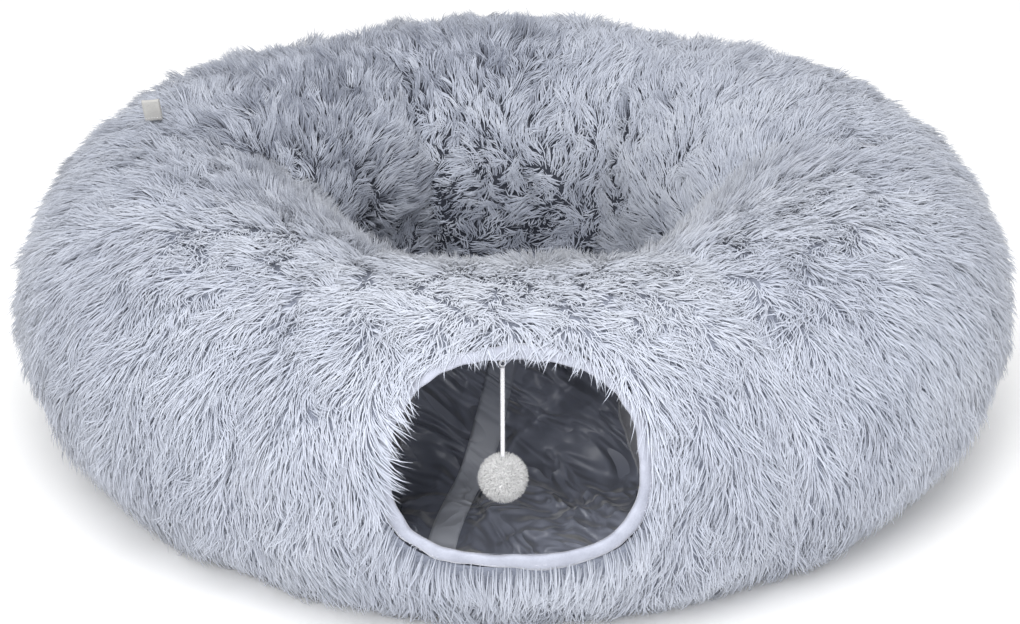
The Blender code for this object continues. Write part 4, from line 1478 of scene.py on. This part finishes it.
def hoop_azimuths():
    """A hoop at every seam between panels, and one just inside each end."""
    end = HALF_END - (CHANNEL_HALF_WIDTH + GAP) / (RING_RADIUS - TUBE_HALF_WIDTH)
    return [-end, -PANEL_ANGLE / 2, PANEL_ANGLE / 2, end]


def hoop_line(azimuth, depth):
    """The section of the nearest seam, closed and evenly spaced, at one depth under the pile's tips."""
    seam = round((azimuth + HALF_END) / PANEL_ANGLE) * PANEL_ANGLE - HALF_END
    if abs(seam) > HALF_END - PANEL_ANGLE / 2:
        depth += END_HOOP_INSET
    outward, height = tube_section([seam], depth)
    return ring_points(azimuth, outward[0], height[0])


def channel_surface(azimuth, low, inward):
    """The strip over a hoop: flat puckered edges and a raised crest."""
    along = np.linspace(-1, 1, CHANNEL_COLUMNS) * CHANNEL_HALF_WIDTH
    crest = np.exp(-((along / CHANNEL_CREST_REACH) ** 2))
    rise = CHANNEL_EDGE_LIFT + (2 * HOOP_WIRE_RADIUS + GAP - CHANNEL_EDGE_LIFT) * crest
    pucker = waves(51, 0.007)(low) * 0.5 + waves(52, 0.017)(low) * 0.6
    share = np.abs(along) / CHANNEL_HALF_WIDTH
    slack = np.sin(np.pi * share) + 0.35 * (share > 0.8)
    depth = rise[:, None] + CHANNEL_PUCKER * slack[:, None] * (1 + pucker[None, :])
    shift = CHANNEL_EDGE_WAVER * share[:, None] ** 2 * waves(53, 0.020)(low)[None, :]
    if abs(azimuth) > 1:
        shift = -np.abs(shift) * np.sign(azimuth)
    tangent = np.array([math.cos(azimuth), math.sin(azimuth), 0])
    return low[None] + tangent * (along[:, None] + shift)[..., None] + inward[None] * depth[..., None]


def add_channel(name, azimuth, rear, body, material, steel):
    """A hoop of round wire and the strip that is stitched over it along both edges."""
    low = evenly(hoop_line(azimuth, CHANNEL_INSET), CHANNEL_ROWS)
    inward = unit(evenly(hoop_line(azimuth, CHANNEL_INSET + INWARD_STEP), CHANNEL_ROWS) - low)
    surface = channel_surface(azimuth, low, inward)
    back = surface + inward * CHANNEL_THICKNESS
    shape = Shape()
    shape.tube(np.concatenate([surface, back[::-1]]), ring=True)
    marks = np.arange(0, CHANNEL_ROWS - 2, 3)
    for column in (1, CHANNEL_COLUMNS - 2):
        line = back[column]
        ends = line[marks + 2] * 0.85 + line[marks] * 0.15
        add_stitches(shape, line[marks], ends, inward[marks], CHANNEL_THREAD)
    item = shape.piece(f"channel_{name}", material, body, rear)
    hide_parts(f"hoop_channel_{name}")
    tangent = (math.cos(azimuth), math.sin(azimuth), 0)
    wire = sweep(low + inward * HOOP_WIRE_RADIUS, HOOP_WIRE_RADIUS, HOOP_WIRE_SIDES, closed=True, aim=tangent)
    add_tube(f"wire_{name}", wire, steel, body, f"hoop_{name}", True, rear)


def add_channels(material, steel):
    names = ("left_end", "left", "right", "right_end")
    for half, body, _, rear in HALVES:
        for azimuth, name in zip(hoop_azimuths(), names[::-1] if rear else names):
            add_channel(f"{half}_{name}", azimuth, rear, body, material, steel)


# ---- Zips ----


def zip_points(angle, across, lift):
    """Points on the right zip: round the tube, across from the parting, lifted off the teeth's circle."""
    out = ZIP_RADIUS + lift
    x = RING_RADIUS + ZIP_CENTRE_OUT + out * np.cos(angle)
    return np.stack([x, across + 0 * x, TUBE_CENTRE_HEIGHT + out * np.sin(angle)], -1)


def add_zip_tapes(cloth, coil):
    """Woven tapes with a folded edge and a coil of monofilament teeth sewn on."""
    angles = np.linspace(ZIP_FIRST_ANGLE, -ZIP_FIRST_ANGLE, ZIP_TAPE_STEPS)
    width = np.array(ZIP_TAPE_WIDTHS)
    thick = ZIP_TAPE_HALF_THICKNESS * np.array(ZIP_TAPE_THICKNESS_SHARES)
    across = np.concatenate([width, width[::-1]])
    ripple = ZIP_TAPE_RIPPLE * np.sin(angles * ZIP_TAPE_RIBS)[:, None]
    lift = np.concatenate([thick, -thick[::-1]]) + ripple
    count = int(ZIP_RADIUS * 2 * ZIP_FIRST_ANGLE / COIL_PITCH)
    turn = np.linspace(0, 2 * np.pi * count, COIL_STEPS * count)
    place = ZIP_FIRST_ANGLE * (1 - 2 * turn / turn[-1])
    for side_name, flip, near, far in (("right", False, "front", "rear"), ("left", True, "rear", "front")):
        for half, sign in ((near, -1), (far, 1)):
            name, body = f"zip_tape_{side_name}_{half}", f"{half}_half"
            woven = zip_points(angles[:, None], sign * across, lift)
            add_tube(f"woven_{name}", woven, cloth, body, name, rear=flip)
            phase = turn + (math.pi if sign > 0 else 0)
            wide = sign * (COIL_MIDDLE + COIL_REACH * np.cos(phase))
            line = zip_points(place, wide, COIL_HALF_HEIGHT * np.sin(phase))
            teeth = sweep(line, COIL_WIRE_RADIUS, COIL_SIDES, aim=(0, 1, 0))
            add_tube(f"coil_{name}", teeth, coil, body, name, rear=flip)


# ---- Centre mat ----


def mat_loop(share, height, inset, turn):
    half = (RING_RADIUS - TUBE_HALF_WIDTH - GAP) * share - inset
    x = half * np.cos(turn)
    y = (half + HALF_GROOVE) * np.sin(turn)
    return np.stack([x, y, height + 0 * x], -1)


def mat_rows(inset, count):
    """Shares and heights up the mat's crowned side to its middle, evenly spaced and smoothed."""
    shares, rises = np.array(MAT_PROFILE_SHARES + ((0.0, 1.0),)).T
    foot = MAT_PIPING_LIFT + 2 * MAT_PIPING_RADIUS + MAT_BASE_THICKNESS + 2 * GAP
    heights = foot + (MAT_HEIGHT - inset - foot) * rises
    reach = (RING_RADIUS - TUBE_HALF_WIDTH) * shares
    length = np.concatenate([[0], np.cumsum(np.hypot(np.diff(reach), np.diff(heights)))])
    marks = np.linspace(0, length[-1], count)
    rows = np.stack([np.interp(marks, length, shares), np.interp(marks, length, heights)])
    for _ in range(MAT_SMOOTHINGS):
        rows[:, 1:-1] = (rows[:, :-2] + 2 * rows[:, 1:-1] + rows[:, 2:]) / 4
    return rows


def mat_surface(inset, columns, rows):
    """Grid over the mat's dome, with a few soft dents where the stuffing has settled."""
    turn = circle(columns)[:, None]
    shares, heights = (row[None, :-1] for row in mat_rows(inset, rows))
    grid = mat_loop(shares + 0 * turn, heights + 0 * turn, inset, turn)
    dent = waves(61, 0.11)(grid) + 0.4 * waves(62, 0.05)(grid)
    settle = np.clip((1 - shares) * 3, 0, 1)
    grid[..., 2] -= MAT_DENT * settle * (1 + dent)
    return grid


def add_dome(name, grid, base, material, node):
    """Closed dome: a second grid or a flat floor below, the grid above it, and a face in each middle."""
    points = np.concatenate([base, grid], 1)
    columns, rows = points.shape[:2]
    first = range(0, columns * rows, rows)
    faces = lattice_faces(columns, rows, True, False) + [tuple(first), tuple(i + rows - 1 for i in first)]
    item = add_mesh(name, points, faces, material, "centre_mat")
    outward_faces(item.data)
    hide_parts(node)
    return item


def add_mat(plush, skin, cloth, filling):
    outer = mat_surface(MAT_SKIN_INSET, *MAT_SKIN_GRID)
    inner = mat_surface(MAT_SKIN_INSET + MAT_SKIN_THICKNESS, *MAT_SKIN_GRID)
    cushion = add_dome("mat_cushion", outer, inner[:, ::-1], skin, "mat_cover")
    lumps = mat_surface(MAT_STUFFING_INSET, *MAT_STUFFING_GRID)
    lumps[..., 2] -= STUFFING_SINK + STUFFING_LUMPS * waves(63, 0.02)(lumps)
    turn = circle(len(lumps))[:, None]
    shares = np.linspace(*STUFFING_FLOOR_SHARES, len(STUFFING_FLOOR_LIFTS))[None, :]
    floor = MAT_BASE_THICKNESS + GAP + np.array(STUFFING_FLOOR_LIFTS)[None, :]
    base = mat_loop(shares, floor + 0 * turn, MAT_SKIN_INSET, turn)
    stuffing = add_dome("mat_stuffing", lumps, base, filling, "mat_filling")
    add_mat_base(cloth)
    add_mat_piping(skin)
    add_mat_pile(plush)


def add_mat_base(cloth):
    """Round base cloth with a turned-in hem."""
    turn = circle(MAT_BASE_COLUMNS)[:, None]
    shares = np.array(MAT_BASE_SHARES)[None, :]
    grid = mat_loop(shares, 0.0 + 0 * turn, 0.0, turn)
    hem = np.clip((shares - 0.9) / 0.04, 0, 1)
    wave = MAT_BASE_WAVE * waves(64, 0.03)(grid) * (1 - hem)
    top = grid + np.array([0, 0, 1]) * (MAT_BASE_LIFT + MAT_HEM_RISE * hem + wave)[..., None]
    edge = mat_loop(np.full((1, 1), MAT_BASE_SHARE), MAT_BASE_EDGE_LIFT + 0 * turn, 0.0, turn)
    below = np.concatenate([grid, edge], 1)
    item = add_dome("mat_base_cloth", top[:, ::-1], below, cloth, "mat_base")


def add_mat_piping(skin):
    """Covered cord round the mat's edge, with the small twists of its bias cover."""
    turn = circle(MAT_PIPING_STEPS)
    height = MAT_BASE_THICKNESS + GAP + MAT_PIPING_LIFT / 2 + MAT_PIPING_RADIUS
    line = mat_loop(MAT_PIPING_SHARE, height + 0 * turn, MAT_PIPING_RADIUS, turn)
    twist = 0.96 + 0.04 * np.cos(2 * circle(MAT_PIPING_SIDES)[None, :] + turn[:, None] * 90)
    piping = sweep(line, MAT_PIPING_RADIUS * twist, MAT_PIPING_SIDES, closed=True)
    add_tube("mat_piping_cord", piping, skin, "centre_mat", "mat_piping", ring=True)


def add_mat_pile(plush):
    """Pile that is brushed outward from the mat's middle, with a slow swirl."""
    rng = np.random.default_rng(900)
    grid = mat_surface(MAT_SKIN_INSET, *MAT_PILE_GRID)
    grid = np.concatenate([grid, grid[:1]])
    out = unit(-np.gradient(grid, axis=1))
    normals = unit(np.cross(out, np.gradient(grid, axis=0)))
    normals *= np.sign(normals[0, -1, 2])
    areas = cell_areas(grid)
    count = int(areas.sum() * STRANDS_PER_M2["mat"])
    cell = scatter(rng, count, areas.ravel())
    i, j = cell // areas.shape[1], cell % areas.shape[1]
    across, along = rng.random(count), rng.random(count)
    roots, normals, out = (on_grid(g, i, j, across, along) for g in (grid, normals, out))
    normals, out = unit(normals), unit(out)
    owner = tufts(roots, MAT_TUFT, 901)
    turn = 0.5 + 0.5 * WAVES["broad"](roots) + 0.35 * WAVES["fine"](roots) + rng.normal(0, 0.2, count)
    turn = turn + 0.35 * per_tuft(owner, 902)
    lengths = rng.uniform(*MAT_STRAND_LENGTHS, count)
    rises = rng.normal(1.0, 0.1, count), rng.normal(0.22, 0.12, count)
    curves = grow(roots, normals, out, lengths, (turn, turn + 0.3 * per_tuft(owner, 903)), rises)
    gather(curves, owner, np.full(count, 0.45))
    curves[:, 1:, 2] = np.maximum(curves[:, 1:, 2], STRAND_FLOOR)
    shade = np.clip(0.55 + rng.normal(0, 0.17, count), 0, 1)
    thick = rng.uniform(*MAT_THICKNESS_SPREAD, count)[:, None] * np.array(STRAND_RADII)[None, :]
    mesh = strand_mesh("mat_pile", curves, thick, shade, rng, normals)
    add_piece("mat_pile", mesh, plush, "centre_mat")


# ---- Label ----


def label_profile():
    """Section of the folded ribbon, from one side over the fold to the other, as places across and up."""
    fold = np.linspace(-HALF_END, HALF_END, 9)
    top = LABEL_HEIGHT - LABEL_HALF_DEPTH
    up = np.linspace(0, top, 12)
    pinch = 1 - LABEL_PINCH * np.exp(-((up / LABEL_PINCH_REACH) ** 2))
    faces = []
    for half in (LABEL_HALF_DEPTH, LABEL_HALF_DEPTH - LABEL_RIBBON):
        middle = np.stack([half * np.sin(fold), top + half * np.cos(fold)], -1)
        left = np.stack([-half * pinch, up], -1)
        right = np.stack([half * pinch, up], -1)[::-1]
        faces.append(np.concatenate([left, middle[1:-1], right]))
    return np.concatenate([faces[0], faces[1][::-1]])


def add_label(ribbon, thread):
    """Blank ribbon folded double and sewn down at its foot."""
    below = LABEL_FLAT_STEP * math.floor(LABEL_ANGLE / LABEL_FLAT_STEP)
    sizes = section_sizes(LABEL_AZIMUTH, 0.0)
    low, high = (
        ring_points(LABEL_AZIMUTH, *round_rows(sizes, angle)) for angle in (below, below + LABEL_FLAT_STEP)
    )
    side = unit(low - high)
    rise = np.cross(side, np.array([math.cos(LABEL_AZIMUTH), math.sin(LABEL_AZIMUTH), 0]))
    across = np.cross(rise, side)
    foot = low + (high - low) * (LABEL_ANGLE - below) / LABEL_FLAT_STEP - rise * LABEL_SINK
    profile = label_profile()
    wide = np.linspace(-0.5, 0.5, 15)
    bow = LABEL_BOW * np.cos(wide * np.pi)[:, None] * (profile[:, 1] / LABEL_HEIGHT)[None, :] ** 2
    grid = foot + side * (wide * LABEL_WIDTH)[:, None, None]
    grid = grid + across * (profile[None, :, 0] + bow)[..., None] + rise * profile[None, :, 1, None]
    add_tube("label_ribbon", grid, ribbon, "rear_half", "label", rear=True)
    shape = Shape()
    marks = (np.arange(6) - 2.5) / 6 * LABEL_WIDTH
    for face in (-1, 1):
        place = foot + rise * LABEL_STITCH_HEIGHT + across * face * LABEL_HALF_DEPTH * 0.66
        starts, ends = (
            place + side * (marks + half)[:, None] for half in (-LABEL_HALF_STITCH, LABEL_HALF_STITCH)
        )
        add_stitches(shape, starts, ends, np.broadcast_to(across * face, starts.shape), LABEL_THREAD)
    shape.piece("label_stitches", thread, "rear_half", rear=True)


# ---- Metal of the frame ----


def dress_metal(steel, metal, thread):
    """Rings, sliders and pulls keep the frame's shape; pressed metal gets eased edges."""
    for name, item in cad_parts.items():
        look = None
        if name.startswith("entrance_ring"):
            look = steel
        elif name.startswith(("zip_slider", "zip_pull")):
            look = metal
            edges = item.modifiers.new("edges", "BEVEL")
            edges.width = METAL_EDGE
            edges.segments = 2
            edges.limit_method = "ANGLE"
        elif name == "toy_eye":
            look = thread
            item.modifiers.new("round", "SUBSURF").render_levels = 2
        if look is not None:
            item.data.materials.clear()
            item.data.materials.append(look)


# ---- Everything in order ----

add_camera()
add_studio()

WAVES = {
    "broad": waves(11, 0.16),
    "fine": waves(12, 0.045),
    "length": waves(13, 0.07),
    "lift": waves(14, 0.055),
}

# Plush pile: the root colours are darker than the tip colours as painted shade deep in the pile, and the
# darkest U end is painted shade of ruffled pile
plush = pile_material(
    "plush_pile",
    ((0.0, (0.03, 0.035, 0.06)), (0.5, (0.39, 0.42, 0.50)), (1.0, (0.53, 0.56, 0.64))),
    ((0.0, (0.18, 0.20, 0.26)), (0.5, (0.44, 0.47, 0.55)), (1.0, (0.56, 0.59, 0.66))),
)
# Pom-pom yarn: the root colours are darker than the tip colours as painted shade deep in the ball
white_yarn = pile_material(
    "pom_pom_yarn_look",
    ((0.0, (0.42, 0.42, 0.43)), (1.0, (0.66, 0.66, 0.67))),
    ((0.0, (0.62, 0.62, 0.63)), (1.0, (0.80, 0.80, 0.80))),
)
cord_look = thread_material("cord_white_look", (0.60, 0.60, 0.62), (0.80, 0.80, 0.82))
tape_thread = thread_material("tape_thread_look", (0.40, 0.41, 0.48), (0.62, 0.63, 0.70))
satin = satin_material("lining_satin_look", (0.19, 0.205, 0.26), (0.34, 0.36, 0.435), 0.34, 0.011)
skin = skin_material()

add_toy(cord_look, white_yarn, thread_material("pom_pom_core_look", (0.70, 0.70, 0.71), (0.80, 0.80, 0.80)))
add_cover(skin)
add_pile(plush)
add_lining(satin)
add_bindings(tape_material("binding_look", (0.28, 0.295, 0.36), (0.39, 0.41, 0.485)), satin, tape_thread)
channel = satin_material("channel_look", (0.30, 0.305, 0.34), (0.42, 0.425, 0.46), 0.5)
# Seam strip: pale at the tunnel's floor, with painted shade in its darker colour higher up
add_seam_strip(
    satin_material("seam_strip_look", (0.60, 0.63, 0.71), (0.86, 0.88, 0.93), 0.5, 0.004, (0.30, 0.32, 0.38))
)
steel = metal_material("spring_steel_look", (0.55, 0.56, 0.58))
add_channels(channel, steel)
add_zip_tapes(
    tape_material("zip_cloth_look", (0.34, 0.36, 0.42), (0.50, 0.52, 0.58)),
    thread_material("zip_coil_look", (0.42, 0.43, 0.48), (0.52, 0.53, 0.58), 300.0),
)
add_mat(plush, skin, satin, thread_material("stuffing_look", (0.72, 0.72, 0.72), (0.86, 0.86, 0.86), 300.0))
add_label(
    tape_material("label_look", (0.32, 0.315, 0.305), (0.42, 0.415, 0.40)),
    thread_material("label_thread_look", (0.55, 0.55, 0.56), (0.75, 0.75, 0.75)),
)
dress_metal(steel, metal_material("zip_metal_look", (0.62, 0.62, 0.64)), cord_look)
